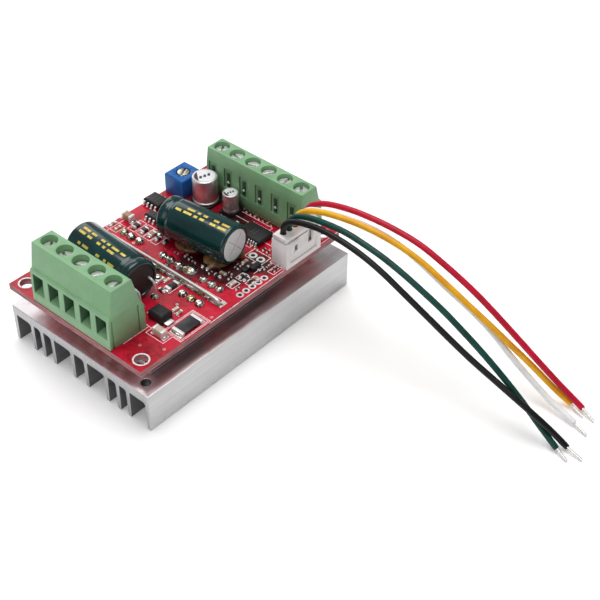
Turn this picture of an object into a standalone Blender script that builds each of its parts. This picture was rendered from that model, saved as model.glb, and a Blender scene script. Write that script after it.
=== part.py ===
"""Brushless motor driver module: a circuit board over a finned heatsink, with screw terminals,
capacitors, power transistors under the board and a five-wire sensor lead.

Frame: origin at the middle of the heatsink's underside, +Z up, +X towards the control terminal,
-Y towards the edge that the sensor lead leaves by. Units are metres; MM turns millimetres into them.
"""

import math

import bmesh
import bpy
import numpy as np
from mathutils import Vector

MM = 0.001

# Clearances
SEAT_GAP = 0.25 * MM            # between a piece and what it rests on
SIDE_GAP = 0.3 * MM             # between a piece and the walls beside it

# Circuit board
BOARD_LENGTH = 64 * MM
BOARD_WIDTH = 43 * MM
BOARD_THICKNESS = 1.6 * MM
BOARD_GAP = 5.0 * MM            # from the heatsink's top to the board's underside
BOARD_HOLE_RADIUS = 1.55 * MM
BOARD_HOLE_INSET = 2.75 * MM

# Heatsink extrusion
SINK_END_MARGIN = 2.0 * MM      # heatsink left uncovered at the control terminal's end
SINK_FRONT_MARGIN = 1.5 * MM
SINK_BACK_MARGIN = 0.5 * MM
SINK_HEIGHT = 10 * MM
SINK_PLATE = 2.4 * MM
FIN_THICKNESS = 1.2 * MM
FIN_TIP_THICKNESS = 1.0 * MM
FIN_TIP_ROUND = 0.35 * MM
FIN_ROOT_FILLET = 0.8 * MM
FILLET_POINTS = 4
INNER_FIN_OFFSETS = (2.2 * MM, 8.9 * MM, 12.6 * MM, 15.9 * MM)
SINK_HOLE_RADIUS = 1.15 * MM
SINK_HOLE_END_INSET = 3.0 * MM
SINK_HOLE_SIDE_INSET = 3.8 * MM

# Screw terminals: offsets run outwards from the line of the poles, heights from the board
POLE_PITCH = 5.08 * MM
END_WALL = 2.45 * MM            # from the last pole to the housing's end
WELL_CLEARANCE = 0.2 * MM       # around a screw's head
SCREW_HEAD_RADIUS = 1.7 * MM
SCREW_HEAD_HEIGHT = 1.5 * MM
SCREW_SHANK_RADIUS = 0.95 * MM
SCREW_SLOT_WIDTH = 0.6 * MM
SCREW_SLOT_DEPTH = 0.7 * MM
CLAMP_DEPTH = 4.2 * MM
CLAMP_SIDE_WALL = 0.4 * MM
CLAMP_FLOOR = 0.8 * MM
CLAMP_ROOF = 1.2 * MM
CLAMP_TRAVEL = 2.25 * MM
ENTRY_WIDTH = 3.3 * MM
MOUTH_START = 1.4 * MM          # the wire entry runs outwards from here
SCREW_TURN_STEP = 37            # degrees from one screw's slot to the next one's
GROOVE_WIDTH = 0.4 * MM
GROOVE_DEPTH = 0.4 * MM

# Power terminal, at the -X end
POWER_POLES = 5
POWER_EDGE_OFFSET = 4.9 * MM    # from the board's end to the line of the poles
POWER_CENTRE_Y = 0.9 * MM
POWER_HEIGHT = 14.9 * MM
POWER_PROFILE = (
    (4.8 * MM, 0.0 * MM),
    (4.5 * MM, 8.4 * MM),
    (3.95 * MM, 8.6 * MM),
    (2.95 * MM, 14.9 * MM),
    (-2.7 * MM, 14.9 * MM),
    (-4.4 * MM, 8.6 * MM),
    (-5.35 * MM, 6.6 * MM),
    (-5.6 * MM, 3.6 * MM),
    (-5.5 * MM, 0.0 * MM),
)
POWER_SCREW_DROP = 1.6 * MM     # screw heads this far below the housing's top
POWER_ENTRY_BOTTOM = 2.25 * MM
POWER_ENTRY_TOP = 7.4 * MM
POWER_CAVITY_BOTTOM = 1.3 * MM
POWER_CLAMP_HEIGHT = 6.3 * MM
POWER_GROOVES = ((3.65 * MM, 7.4 * MM), (-3.75 * MM, 7.2 * MM))   # offset and top of each groove

# Control terminal, at the +X end
CONTROL_POLES = 6
CONTROL_EDGE_OFFSET = 5.47 * MM
CONTROL_HEIGHT = 12.4 * MM
CONTROL_PROFILE = (
    (4.95 * MM, 0.0 * MM),
    (4.3 * MM, 7.6 * MM),
    (3.45 * MM, 8.5 * MM),
    (2.5 * MM, 12.4 * MM),
    (-2.55 * MM, 12.4 * MM),
    (-3.15 * MM, 8.0 * MM),
    (-3.15 * MM, 1.3 * MM),
    (-2.7 * MM, 1.3 * MM),
    (-2.7 * MM, 0.0 * MM),
)
CONTROL_SCREW_DROP = 1.0 * MM
CONTROL_ENTRY_BOTTOM = 2.0 * MM
CONTROL_ENTRY_TOP = 6.6 * MM
CONTROL_CAVITY_BOTTOM = 1.0 * MM
CONTROL_CLAMP_HEIGHT = 6.0 * MM
POCKET_WIDTH = 2.6 * MM
POCKET_SHIFT = 0.4 * MM         # pocket's middle, towards +Y from its pole
POCKET_DEPTH = 0.4 * MM
POCKET_BOTTOM = 3.7 * MM
POCKET_TOP = 9.0 * MM

# Sensor header and plug
HEADER_LENGTH = 11.9 * MM
HEADER_WIDTH = 4.4 * MM
HEADER_HEIGHT = 6.6 * MM
HEADER_WALL = 0.55 * MM
HEADER_FLOOR = 1.2 * MM
HEADER_CONTROL_GAP = 0.35 * MM  # between the header's back and the control terminal's end
HEADER_POLE_REACH = 7.43 * MM   # from the control terminal's poles to the header's middle
HEADER_SLOT_WIDTH = 1.4 * MM
HEADER_SLOT_DEPTH = 3.4 * MM
HEADER_SLOT_SPREAD = 5.0 * MM
PLUG_FLANGE = 1.0 * MM
WIRE_EXIT_SHIFT = 0.4 * MM      # from the plug's middle to its wires, towards +Y

# Capacitors lying on the board: lead end and closed end of each one's axis
CAPACITOR_DIAMETER = 10 * MM
CAPACITOR_BEAD = 0.35 * MM      # depth of the groove rolled near the bung
CAPACITOR_BEAD_INSET = 2.6 * MM
CAPACITOR_ROUND = 0.7 * MM
LEFT_CAPACITOR_ENDS = ((-17.0 * MM, -4.3 * MM), (-15.6 * MM, 16.3 * MM))
RIGHT_CAPACITOR_ENDS = ((4.3 * MM, 8.8 * MM), (6.2 * MM, -10.9 * MM))

# Upright can capacitors: middle, can radius, height over the board, side of the square base
CAN_BASE_HEIGHT = 1.0 * MM
CAN_BASE_CHAMFER = 1.2 * MM
CANS = {
    "can_capacitor_large": ((18.85 * MM, 11.2 * MM), 3.15 * MM, 7.6 * MM, 6.5 * MM),
    "can_capacitor_small": ((20.0 * MM, 3.8 * MM), 2.0 * MM, 5.7 * MM, 4.2 * MM),
}

# Trimmer
TRIMMER_CENTRE = (18.75 * MM, 18.6 * MM)
TRIMMER_SIZE = (6.9 * MM, 6.2 * MM, 5.2 * MM)
TRIMMER_RECESS_DEPTH = 1.3 * MM
ROTOR_RADIUS = 1.5 * MM
ROTOR_HEIGHT = 1.0 * MM
ROTOR_SLOT_WIDTH = 0.5 * MM
ROTOR_SLOT_DEPTH = 0.5 * MM
ROTOR_TURN = 25                 # degrees at which its slot stands

# Chips: middle, body size, number of legs a side, and their pitch
LEG_REACH = 0.8 * MM
LEG_THICKNESS = 0.25 * MM
LEG_WIDTH_SHARE = 0.36          # of the pitch
CHIP_CHAMFER = 0.3 * MM
CHIPS = {
    "driver_chip": ((10.0 * MM, 19.3 * MM), (3.9 * MM, 5.0 * MM, 1.55 * MM), 4, 1.27 * MM),
    "gate_chip": ((5.3 * MM, 15.1 * MM), (2.4 * MM, 4.3 * MM, 1.35 * MM), 3, 1.27 * MM),
    "controller_chip": ((16.6 * MM, -7.2 * MM), (5.3 * MM, 7.4 * MM, 1.35 * MM), 9, 0.75 * MM),
}

# Plain surface-mount parts: middle, size, edge chamfer
BLOCKS = {
    "supply_diode": ((-18.5 * MM, -11.85 * MM), (3.3 * MM, 4.2 * MM, 2.2 * MM), 0.35 * MM),
    "current_shunt": ((-16.5 * MM, -18.1 * MM), (6.4 * MM, 3.2 * MM, 0.6 * MM), 0.06 * MM),
    "ceramic_capacitor_large": ((-22.3 * MM, -15.6 * MM), (1.6 * MM, 2.9 * MM, 1.6 * MM), 0.08 * MM),
    "ceramic_capacitor_brown": ((1.2 * MM, 19.8 * MM), (1.6 * MM, 3.1 * MM, 1.5 * MM), 0.08 * MM),
}
DIODE_TAB_WIDTH = 2.1 * MM
DIODE_TAB_REACH = 1.2 * MM
DIODE_TAB_THICKNESS = 0.25 * MM

# Tinned bus bar
BUS_RADIUS = 0.42 * MM
BUS_X = -6.9 * MM
BUS_LIFT = 1.35 * MM            # its middle over the board
BUS_ENDS = (-18.0 * MM, 19.6 * MM)
BUS_CORNER = 1.0 * MM

# Power transistors in two rows, back to back, flat on the heatsink
TRANSISTOR_ROWS = ((-3.1 * MM, 1), (-9.6 * MM, -1))    # place of the leads, and which way the tab points
TRANSISTOR_PITCH = 13.1 * MM
TRANSISTOR_MIDDLE_Y = 0.9 * MM
TRANSISTOR_WIDTH = 10.0 * MM
TRANSISTOR_BODY = 9.2 * MM
TRANSISTOR_TAB = 6.3 * MM
TRANSISTOR_THICKNESS = 3.9 * MM
TAB_THICKNESS = 1.3 * MM
TAB_HOLE_INSET = 2.8 * MM
LEAD_PITCH = 2.6 * MM
LEAD_THICKNESS = 0.5 * MM
LEAD_WIDTH = 0.8 * MM
LEAD_REACH = 2.1 * MM
LEAD_LIFT = 2.2 * MM            # lead's underside over the transistor's back
LEAD_STANDS_OUT = 0.8 * MM      # of the board's top
PAD_THICKNESS = 0.25 * MM
PAD_MARGIN = 0.6 * MM
FIXING_SHANK_RADIUS = 1.25 * MM
FIXING_HEAD_RADIUS = 2.6 * MM
FIXING_HEAD_HEIGHT = 1.5 * MM
FIXING_HOLE_DEPTH = 2.1 * MM

# Sensor wires: insulation, bare tip, and the route of each middle line in millimetres.
# The last point of a route is the end of its bare tip, the one before it the end of the insulation.
WIRE_RADIUS = 0.7 * MM
TIP_RADIUS = 0.3 * MM
TIP_STEP = 0.1 * MM             # over which the insulation ends and the bare tip starts
WIRE_POINT_STEP = 2.9 * MM
WIRE_ROUTES_MM = {
    "hall_wire_black": (
        (14.1, -18.4, 25.0), (14.1, -18.6, 26.6), (14.2, -19.5, 28.1), (14.3, -20.9, 29.0),
        (14.6, -23.3, 29.7), (15.2, -28.6, 30.2), (15.7, -34.0, 29.6), (16.2, -39.5, 28.2),
        (16.6, -44.9, 26.1), (17.0, -50.4, 23.3), (17.5, -56.4, 20.1), (18.0, -62.8, 16.7),
        (18.4, -68.3, 14.0), (18.9, -74.0, 11.5), (19.3, -79.9, 9.1), (20.2, -85.6, 6.1),
        (21.2, -89.2, 3.4), (22.0, -92.3, 0.9), (21.4, -96.3, 0.4),
    ),
    "hall_wire_green": (
        (16.1, -18.4, 25.0), (16.1, -18.6, 26.8), (16.1, -19.6, 28.5), (16.2, -21.3, 29.7),
        (16.4, -24.6, 30.7), (16.7, -30.2, 31.3), (17.0, -34.3, 31.2), (17.3, -38.4, 30.5),
        (17.8, -43.7, 29.1), (18.3, -49.0, 27.1), (18.8, -53.9, 24.8), (19.4, -59.7, 21.8),
        (19.8, -64.6, 18.9), (20.2, -69.3, 15.9), (20.5, -74.0, 12.7), (20.8, -78.1, 9.6),
        (20.9, -81.6, 6.9), (20.8, -85.1, 4.3), (20.2, -90.8, 0.9), (19.1, -94.0, 0.4),
    ),
    "hall_wire_yellow": (
        (18.1, -18.4, 25.0), (18.1, -18.6, 26.8), (18.3, -19.6, 28.5), (18.6, -21.4, 29.8),
        (19.4, -25.0, 30.9), (20.4, -30.1, 31.3), (21.5, -35.0, 31.0), (22.6, -39.9, 30.1),
        (23.8, -44.8, 28.5), (24.8, -49.3, 26.5), (26.2, -55.5, 22.6), (27.4, -60.7, 19.1),
        (28.7, -65.9, 15.5), (30.1, -71.2, 11.6), (31.4, -76.3, 7.9), (32.6, -81.7, 3.9),
        (33.7, -86.0, 0.9), (32.5, -89.7, 0.4),
    ),
    "hall_wire_white": (
        (20.1, -18.4, 25.0), (20.1, -18.6, 26.5), (20.3, -19.4, 27.8), (20.6, -20.8, 28.8),
        (21.4, -24.4, 29.6), (22.3, -28.6, 29.8), (23.5, -33.5, 29.5), (24.5, -38.5, 28.7),
        (25.5, -43.5, 27.0), (26.1, -47.8, 25.0), (27.4, -55.5, 20.3), (28.5, -60.6, 17.1),
        (29.3, -66.3, 13.3), (29.7, -71.9, 9.0), (30.0, -77.3, 5.4), (29.9, -82.9, 2.5),
        (29.2, -89.7, 0.9), (28.2, -93.3, 0.4),
    ),
    "hall_wire_red": (
        (22.1, -18.4, 25.0), (22.1, -18.6, 26.8), (22.3, -19.6, 28.5), (22.6, -21.3, 29.7),
        (23.1, -24.2, 30.7), (24.0, -30.0, 31.4), (24.8, -35.4, 31.3), (25.7, -40.6, 30.6),
        (26.8, -46.9, 29.0), (27.8, -53.3, 26.1), (29.0, -60.3, 22.1), (29.7, -64.8, 19.1),
        (30.8, -71.2, 14.3), (31.9, -77.9, 9.2), (32.9, -82.9, 5.3), (34.2, -88.7, 0.9),
        (32.9, -92.3, 0.4),
    ),
}

# Mesh fineness
ROUND_SIDES = 24
SMALL_ROUND_SIDES = 16

# Levels and edges that follow from the sizes above
SINK_LENGTH = BOARD_LENGTH + SINK_END_MARGIN
SINK_WIDTH = BOARD_WIDTH + SINK_FRONT_MARGIN + SINK_BACK_MARGIN
BOARD_END_X = -SINK_LENGTH / 2
BOARD_FAR_X = BOARD_END_X + BOARD_LENGTH
BOARD_FRONT_Y = -SINK_WIDTH / 2 + SINK_FRONT_MARGIN
BOARD_BACK_Y = BOARD_FRONT_Y + BOARD_WIDTH
BOARD_BOTTOM = SINK_HEIGHT + BOARD_GAP
BOARD_TOP = BOARD_BOTTOM + BOARD_THICKNESS
SEAT = BOARD_TOP + SEAT_GAP
PAD_BOTTOM = SINK_HEIGHT + SEAT_GAP
CLAMP_WINDOW = 2 * (SCREW_SHANK_RADIUS + SIDE_GAP)
CLAMP_WIDTH = CLAMP_WINDOW + 2 * CLAMP_SIDE_WALL
TRANSISTOR_BOTTOM = PAD_BOTTOM + PAD_THICKNESS + SEAT_GAP
FIXING_CLEAR_RADIUS = FIXING_SHANK_RADIUS + SIDE_GAP
HEADER_Y = BOARD_FRONT_Y + HEADER_WIDTH / 2
POWER_X = BOARD_END_X + POWER_EDGE_OFFSET
CONTROL_X = BOARD_FAR_X - CONTROL_EDGE_OFFSET
HEADER_X = CONTROL_X - HEADER_POLE_REACH
POWER_POLE_Y = [
    POWER_CENTRE_Y + (k - (POWER_POLES - 1) / 2) * POLE_PITCH for k in reversed(range(POWER_POLES))
]
CONTROL_END_Y = HEADER_Y + HEADER_WIDTH / 2 + HEADER_CONTROL_GAP
CONTROL_POLE_Y = [
    CONTROL_END_Y + END_WALL + k * POLE_PITCH for k in reversed(range(CONTROL_POLES))
]
TRANSISTOR_Y = [TRANSISTOR_MIDDLE_Y + k * TRANSISTOR_PITCH for k in (1, 0, -1)]


def clear_scene():
    for obj in list(bpy.data.objects):
        bpy.data.objects.remove(obj)


def make_material(name, colour, roughness, metallic=0.0):
    material = bpy.data.materials.new(name)
    material.use_nodes = True
    shader = material.node_tree.nodes["Principled BSDF"]
    shader.inputs["Base Color"].default_value = (*colour, 1.0)
    shader.inputs["Roughness"].default_value = roughness
    shader.inputs["Metallic"].default_value = metallic
    return material


def add_object(name, mesh, material, location=(0, 0, 0), turn=0.0):
    """Link a mesh as a named object, turned about Z and placed."""
    obj = bpy.data.objects.new(name, mesh)
    bpy.context.scene.collection.objects.link(obj)
    obj.location = location
    obj.rotation_euler = (0, 0, turn)
    if material is not None and not mesh.materials:
        mesh.materials.append(material)
    return obj


def finish_mesh(name, bm, sharp_angle=40):
    """Turn a bmesh into a mesh with outward normals, smooth but for its sharper edges."""
    bmesh.ops.recalc_face_normals(bm, faces=bm.faces)
    mesh = bpy.data.meshes.new(name)
    bm.to_mesh(mesh)
    bm.free()
    mesh.shade_smooth()
    mesh.set_sharp_from_angle(angle=math.radians(sharp_angle))
    return mesh


def circle(radius, height, sides=ROUND_SIDES, middle=(0, 0)):
    """Points of a level circle."""
    angles = [2 * math.pi * k / sides for k in range(sides)]
    return [
        (middle[0] + radius * math.cos(a), middle[1] + radius * math.sin(a), height) for a in angles
    ]


def loft(bm, rings):
    """Closed skin through rings of equal counts, capped at both ends."""
    loops = [[bm.verts.new(point) for point in ring] for ring in rings]
    for below, above in zip(loops, loops[1:]):
        count = len(below)
        for k in range(count):
            nxt = (k + 1) % count
            bm.faces.new((below[k], below[nxt], above[nxt], above[k]))
    bm.faces.new(list(reversed(loops[0])))
    bm.faces.new(loops[-1])
    return loops


def turned(bm, profile, sides=ROUND_SIDES, middle=(0, 0)):
    """Solid of revolution about a vertical line, from (radius, height) pairs."""
    return loft(bm, [circle(radius, height, sides, middle) for radius, height in profile])


def prism(bm, outline, low, high, axis="Y"):
    """Extrude an outline between two places on an axis.

    The outline's pairs are (y, z) for axis X, (x, z) for axis Y and (x, y) for axis Z.
    """
    place = {
        "X": lambda a, b, c: (c, a, b),
        "Y": lambda a, b, c: (a, c, b),
        "Z": lambda a, b, c: (a, b, c),
    }[axis]
    loft(bm, [[place(a, b, c) for a, b in outline] for c in (low, high)])


def box(bm, low, high):
    """Box between two corners."""
    outline = [(low[0], low[1]), (high[0], low[1]), (high[0], high[1]), (low[0], high[1])]
    prism(bm, outline, low[2], high[2], "Z")


def block(bm, size, chamfer, bottom=0.0):
    """Box centred on Z with a chamfer round its top."""
    half_x, half_y = size[0] / 2, size[1] / 2
    levels = ((0.0, bottom), (0.0, bottom + size[2] - chamfer), (chamfer, bottom + size[2]))
    rings = []
    for inset, height in levels:
        x, y = half_x - inset, half_y - inset
        rings.append([(-x, -y, height), (x, -y, height), (x, y, height), (-x, y, height)])
    loft(bm, rings)


def combine(obj, tool_bm, operation, label):
    """Cut a bmesh out of an object, or join it on, with a Boolean that stays on the object."""
    tool = add_object(f"{obj.name}_{label}", finish_mesh(label, tool_bm), None, obj.location)
    tool.rotation_euler = obj.rotation_euler
    tool.hide_render = True
    tool.display_type = "WIRE"
    modifier = obj.modifiers.new(label, "BOOLEAN")
    modifier.operation = operation
    modifier.object = tool
    return obj


def slotted_screw_mesh(name, head_radius, head_height, slot_width, slot_depth, shank_radius, length):
    """Cheese-head screw, its head's top at height 0, the shank's end at -length."""
    half = math.asin(slot_width / 2 / head_radius)
    arc = np.linspace(half, math.pi - half, SMALL_ROUND_SIDES // 2)
    angles = list(arc) + list(arc + math.pi)

    def ring(radius, height):
        return [(radius * math.cos(a), radius * math.sin(a), height) for a in angles]

    bm = bmesh.new()
    rings = [ring(head_radius, -slot_depth), ring(head_radius, -head_height)]
    if shank_radius:
        rings += [ring(shank_radius, -head_height), ring(shank_radius, -length)]
    loops = loft(bm, rings)
    bm.faces.remove(bm.faces.get(loops[0]))
    rim = loops[0]
    count = len(arc)
    halves = [bm.faces.new(rim[:count]), bm.faces.new(rim[count:])]
    bm.faces.new((rim[count - 1], rim[count], rim[-1], rim[0]))
    raised = bmesh.ops.extrude_discrete_faces(bm, faces=halves)["faces"]
    for face in raised:
        bmesh.ops.translate(bm, vec=(0, 0, slot_depth), verts=face.verts)
    return finish_mesh(name, bm)


def build_heatsink(material):
    """Finned extrusion along X: flat top, tapered fins with rounded tips, drilled for the screws."""
    plate_bottom = SINK_HEIGHT - SINK_PLATE
    half_width = SINK_WIDTH / 2
    outer = half_width - FIN_THICKNESS / 2
    centres = sorted([-outer, outer] + [s * offset for offset in INNER_FIN_OFFSETS for s in (-1, 1)])
    taper = (FIN_THICKNESS - FIN_TIP_THICKNESS) / 2
    corner = FIN_TIP_ROUND * (1 - math.sqrt(0.5))
    outline = [(-half_width, SINK_HEIGHT)]
    for centre in centres:
        left = centre - FIN_THICKNESS / 2
        right = centre + FIN_THICKNESS / 2
        tip_left = left if centre == centres[0] else left + taper
        tip_right = right if centre == centres[-1] else right - taper
        if centre != centres[0]:
            outline.append((left, plate_bottom))
        outline += [
            (tip_left, FIN_TIP_ROUND),
            (tip_left + corner, corner),
            (tip_left + FIN_TIP_ROUND, 0),
            (tip_right - FIN_TIP_ROUND, 0),
            (tip_right - corner, corner),
            (tip_right, FIN_TIP_ROUND),
        ]
        if centre != centres[-1]:
            for angle in np.linspace(0, math.pi / 2, FILLET_POINTS):
                outline.append((
                    right + FIN_ROOT_FILLET * (1 - math.cos(angle)),
                    plate_bottom - FIN_ROOT_FILLET * (1 - math.sin(angle)),
                ))
    outline.append((half_width, SINK_HEIGHT))
    bm = bmesh.new()
    prism(bm, outline, -SINK_LENGTH / 2, SINK_LENGTH / 2, "X")
    sink = add_object("heatsink", finish_mesh("heatsink", bm, 30), material)

    holes = bmesh.new()
    for _, x, y in fixing_places():
        walls = (
            (FIXING_CLEAR_RADIUS, SINK_HEIGHT - FIXING_HOLE_DEPTH),
            (FIXING_CLEAR_RADIUS, SINK_HEIGHT + MM),
        )
        turned(holes, walls, SMALL_ROUND_SIDES, (x, y))
    place = (-SINK_LENGTH / 2 + SINK_HOLE_END_INSET, -SINK_WIDTH / 2 + SINK_HOLE_SIDE_INSET)
    through = ((SINK_HOLE_RADIUS, plate_bottom - MM), (SINK_HOLE_RADIUS, SINK_HEIGHT + MM))
    turned(holes, through, SMALL_ROUND_SIDES, place)
    combine(sink, holes, "DIFFERENCE", "holes")


def lead_places():
    """Where each transistor lead comes up through the board."""
    return [
        (lead_x, y + k * LEAD_PITCH)
        for lead_x, _ in TRANSISTOR_ROWS for y in TRANSISTOR_Y for k in (-1, 0, 1)
    ]


def build_board(material):
    """Flat board with a hole at each corner and one for each transistor lead."""
    bm = bmesh.new()
    box(bm, (BOARD_END_X, BOARD_FRONT_Y, BOARD_BOTTOM), (BOARD_FAR_X, BOARD_BACK_Y, BOARD_TOP))
    board = add_object("circuit_board", finish_mesh("circuit_board", bm), material)
    holes = bmesh.new()
    for x in (BOARD_END_X + BOARD_HOLE_INSET, BOARD_FAR_X - BOARD_HOLE_INSET):
        for y in (BOARD_FRONT_Y + BOARD_HOLE_INSET, BOARD_BACK_Y - BOARD_HOLE_INSET):
            walls = ((BOARD_HOLE_RADIUS, BOARD_BOTTOM - MM), (BOARD_HOLE_RADIUS, BOARD_TOP + MM))
            turned(holes, walls, ROUND_SIDES, (x, y))
    half = LEAD_WIDTH / 2 + SIDE_GAP
    for x, y in lead_places():
        box(holes, (x - half, y - half, BOARD_BOTTOM - MM), (x + half, y + half, BOARD_TOP + MM))
    combine(board, holes, "DIFFERENCE", "holes")


def cavity_top(height, screw_drop):
    """Height at which a clamp's cavity ends and the screw's well begins."""
    return height - screw_drop - SCREW_HEAD_HEIGHT - SIDE_GAP


def build_terminal(name, x, poles_y, outwards, profile, height, screw_drop, entry, cavity_bottom,
                   clamp_height, grooves, pockets, plastic, steel, brass):
    """Screw terminal: housing with wells, cavities and wire entries, and a screw and cage at each pole."""
    low_y = min(poles_y) - END_WALL
    high_y = max(poles_y) + END_WALL
    outline = [(outwards * offset, max(h, 0)) for offset, h in profile]
    bm = bmesh.new()
    prism(bm, outline, low_y, high_y, "Y")
    housing = add_object(f"{name}_housing", finish_mesh(name, bm), plastic, (x, 0, SEAT))

    top = cavity_top(height, screw_drop)
    half_cavity_x = CLAMP_DEPTH / 2 + SIDE_GAP
    half_cavity_y = CLAMP_WIDTH / 2 + SIDE_GAP
    cavities = bmesh.new()
    wells = bmesh.new()
    entries = bmesh.new()
    entry_bottom, entry_top = entry
    reach = 2 * CLAMP_DEPTH
    for y in poles_y:
        box(
            cavities,
            (-half_cavity_x, y - half_cavity_y, cavity_bottom),
            (half_cavity_x, y + half_cavity_y, top),
        )
        well_radius = SCREW_HEAD_RADIUS + WELL_CLEARANCE
        turned(wells, ((well_radius, top - SIDE_GAP), (well_radius, height + MM)), ROUND_SIDES, (0, y))
        mouth = [
            (outwards * MOUTH_START, entry_bottom + CLAMP_FLOOR),
            (outwards * reach, entry_bottom - CLAMP_FLOOR),
            (outwards * reach, entry_top),
            (outwards * MOUTH_START, entry_top),
        ]
        prism(entries, mouth, y - ENTRY_WIDTH / 2, y + ENTRY_WIDTH / 2, "Y")
    combine(housing, cavities, "DIFFERENCE", "cavities")
    combine(housing, wells, "DIFFERENCE", "wells")
    combine(housing, entries, "DIFFERENCE", "entries")
    if grooves:
        cuts = bmesh.new()
        for offset, groove_top in grooves:
            middle = outwards * offset
            box(
                cuts,
                (middle - GROOVE_WIDTH / 2, low_y - MM, -MM),
                (middle + GROOVE_WIDTH / 2, low_y + GROOVE_DEPTH, groove_top),
            )
        combine(housing, cuts, "DIFFERENCE", "grooves")
    if pockets:
        back = -outwards * max(-offset for offset, _ in profile)
        cuts = bmesh.new()
        for y in poles_y:
            edges = sorted((back + outwards * POCKET_DEPTH, back - outwards * MM))
            box(
                cuts,
                (edges[0], y + POCKET_SHIFT - POCKET_WIDTH / 2, POCKET_BOTTOM),
                (edges[1], y + POCKET_SHIFT + POCKET_WIDTH / 2, POCKET_TOP),
            )
        combine(housing, cuts, "DIFFERENCE", "pockets")

    clamp_bottom = cavity_bottom + SIDE_GAP
    shank_end = clamp_bottom + CLAMP_FLOOR + CLAMP_TRAVEL + SIDE_GAP
    screw_top = height - screw_drop
    screw_mesh = slotted_screw_mesh(
        f"{name}_screw", SCREW_HEAD_RADIUS, SCREW_HEAD_HEIGHT, SCREW_SLOT_WIDTH, SCREW_SLOT_DEPTH,
        SCREW_SHANK_RADIUS, screw_top - shank_end,
    )
    for number, y in enumerate(poles_y, 1):
        turn = math.radians(SCREW_TURN_STEP * number)
        add_object(f"{name}_screw_{number}", screw_mesh, steel, (x, y, SEAT + screw_top), turn)
        build_clamp(f"{name}_clamp_{number}", clamp_height, brass, (x, y, SEAT + clamp_bottom))


def build_clamp(name, height, brass, location):
    """Cage clamp: a frame open along X, with a clearance hole for the screw in its roof."""
    half_x, half_y = CLAMP_DEPTH / 2, CLAMP_WIDTH / 2
    bm = bmesh.new()
    box(bm, (-half_x, -half_y, 0), (half_x, half_y, height))
    clamp = add_object(name, finish_mesh(name, bm), brass, location)
    window = bmesh.new()
    inner_y = CLAMP_WINDOW / 2
    box(window, (-half_x - MM, -inner_y, CLAMP_FLOOR), (half_x + MM, inner_y, height - CLAMP_ROOF))
    combine(clamp, window, "DIFFERENCE", "window")
    hole = bmesh.new()
    radius = SCREW_SHANK_RADIUS + SIDE_GAP / 2
    turned(hole, ((radius, height - CLAMP_ROOF - MM), (radius, height + MM)), SMALL_ROUND_SIDES)
    combine(clamp, hole, "DIFFERENCE", "screw_hole")


def build_header_and_plug(plastic):
    """Shrouded five-way header at the board's edge, and the plug that slides down into it."""
    half_x, half_y = HEADER_LENGTH / 2, HEADER_WIDTH / 2
    bm = bmesh.new()
    box(bm, (-half_x, -half_y, 0), (half_x, half_y, HEADER_HEIGHT))
    place = (HEADER_X, HEADER_Y, SEAT)
    header = add_object("hall_header", finish_mesh("hall_header", bm), plastic, place)
    inner_x, inner_y = half_x - HEADER_WALL, half_y - HEADER_WALL
    socket = bmesh.new()
    box(socket, (-inner_x, -inner_y, HEADER_FLOOR), (inner_x, inner_y, HEADER_HEIGHT + MM))
    combine(header, socket, "DIFFERENCE", "socket")
    slots = bmesh.new()
    for side in (-1, 1):
        middle = side * HEADER_SLOT_SPREAD / 2
        box(
            slots,
            (middle - HEADER_SLOT_WIDTH / 2, -half_y - MM, HEADER_HEIGHT - HEADER_SLOT_DEPTH),
            (middle + HEADER_SLOT_WIDTH / 2, -inner_y + HEADER_WALL / 2, HEADER_HEIGHT + MM),
        )
    combine(header, slots, "DIFFERENCE", "slots")

    flange_bottom = HEADER_HEIGHT + SEAT_GAP
    body_x, body_y = inner_x - SIDE_GAP, inner_y - SIDE_GAP
    flange_x, flange_y = half_x - SIDE_GAP / 2, half_y - SIDE_GAP / 2
    rings = []
    for x, y, z in (
        (body_x, body_y, HEADER_FLOOR + SEAT_GAP),
        (body_x, body_y, flange_bottom),
        (flange_x, flange_y, flange_bottom),
        (flange_x, flange_y, flange_bottom + PLUG_FLANGE),
    ):
        rings.append([(-x, -y, z), (x, -y, z), (x, y, z), (-x, y, z)])
    bm = bmesh.new()
    loft(bm, rings)
    add_object("hall_plug", finish_mesh("hall_plug", bm), plastic, place)


def build_capacitor(name, lead_end, closed_end, sleeve):
    """Electrolytic capacitor lying on the board, with a groove rolled in near its bung."""
    radius = CAPACITOR_DIAMETER / 2
    start, stop = Vector((*lead_end, 0)), Vector((*closed_end, 0))
    length = (stop - start).length
    waist = radius - CAPACITOR_BEAD
    profile = (
        (radius - CAPACITOR_ROUND, 0),
        (radius, CAPACITOR_ROUND),
        (radius, CAPACITOR_BEAD_INSET - 2 * CAPACITOR_BEAD),
        (waist, CAPACITOR_BEAD_INSET),
        (radius, CAPACITOR_BEAD_INSET + 2 * CAPACITOR_BEAD),
        (radius, length - CAPACITOR_ROUND),
        (radius - CAPACITOR_ROUND / 2, length),
    )
    bm = bmesh.new()
    turned(bm, profile)
    capacitor = add_object(name, finish_mesh(name, bm), sleeve, (start.x, start.y, SEAT + radius))
    direction = (stop - start).normalized()
    capacitor.rotation_euler = direction.to_track_quat("Z", "Y").to_euler()


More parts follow.
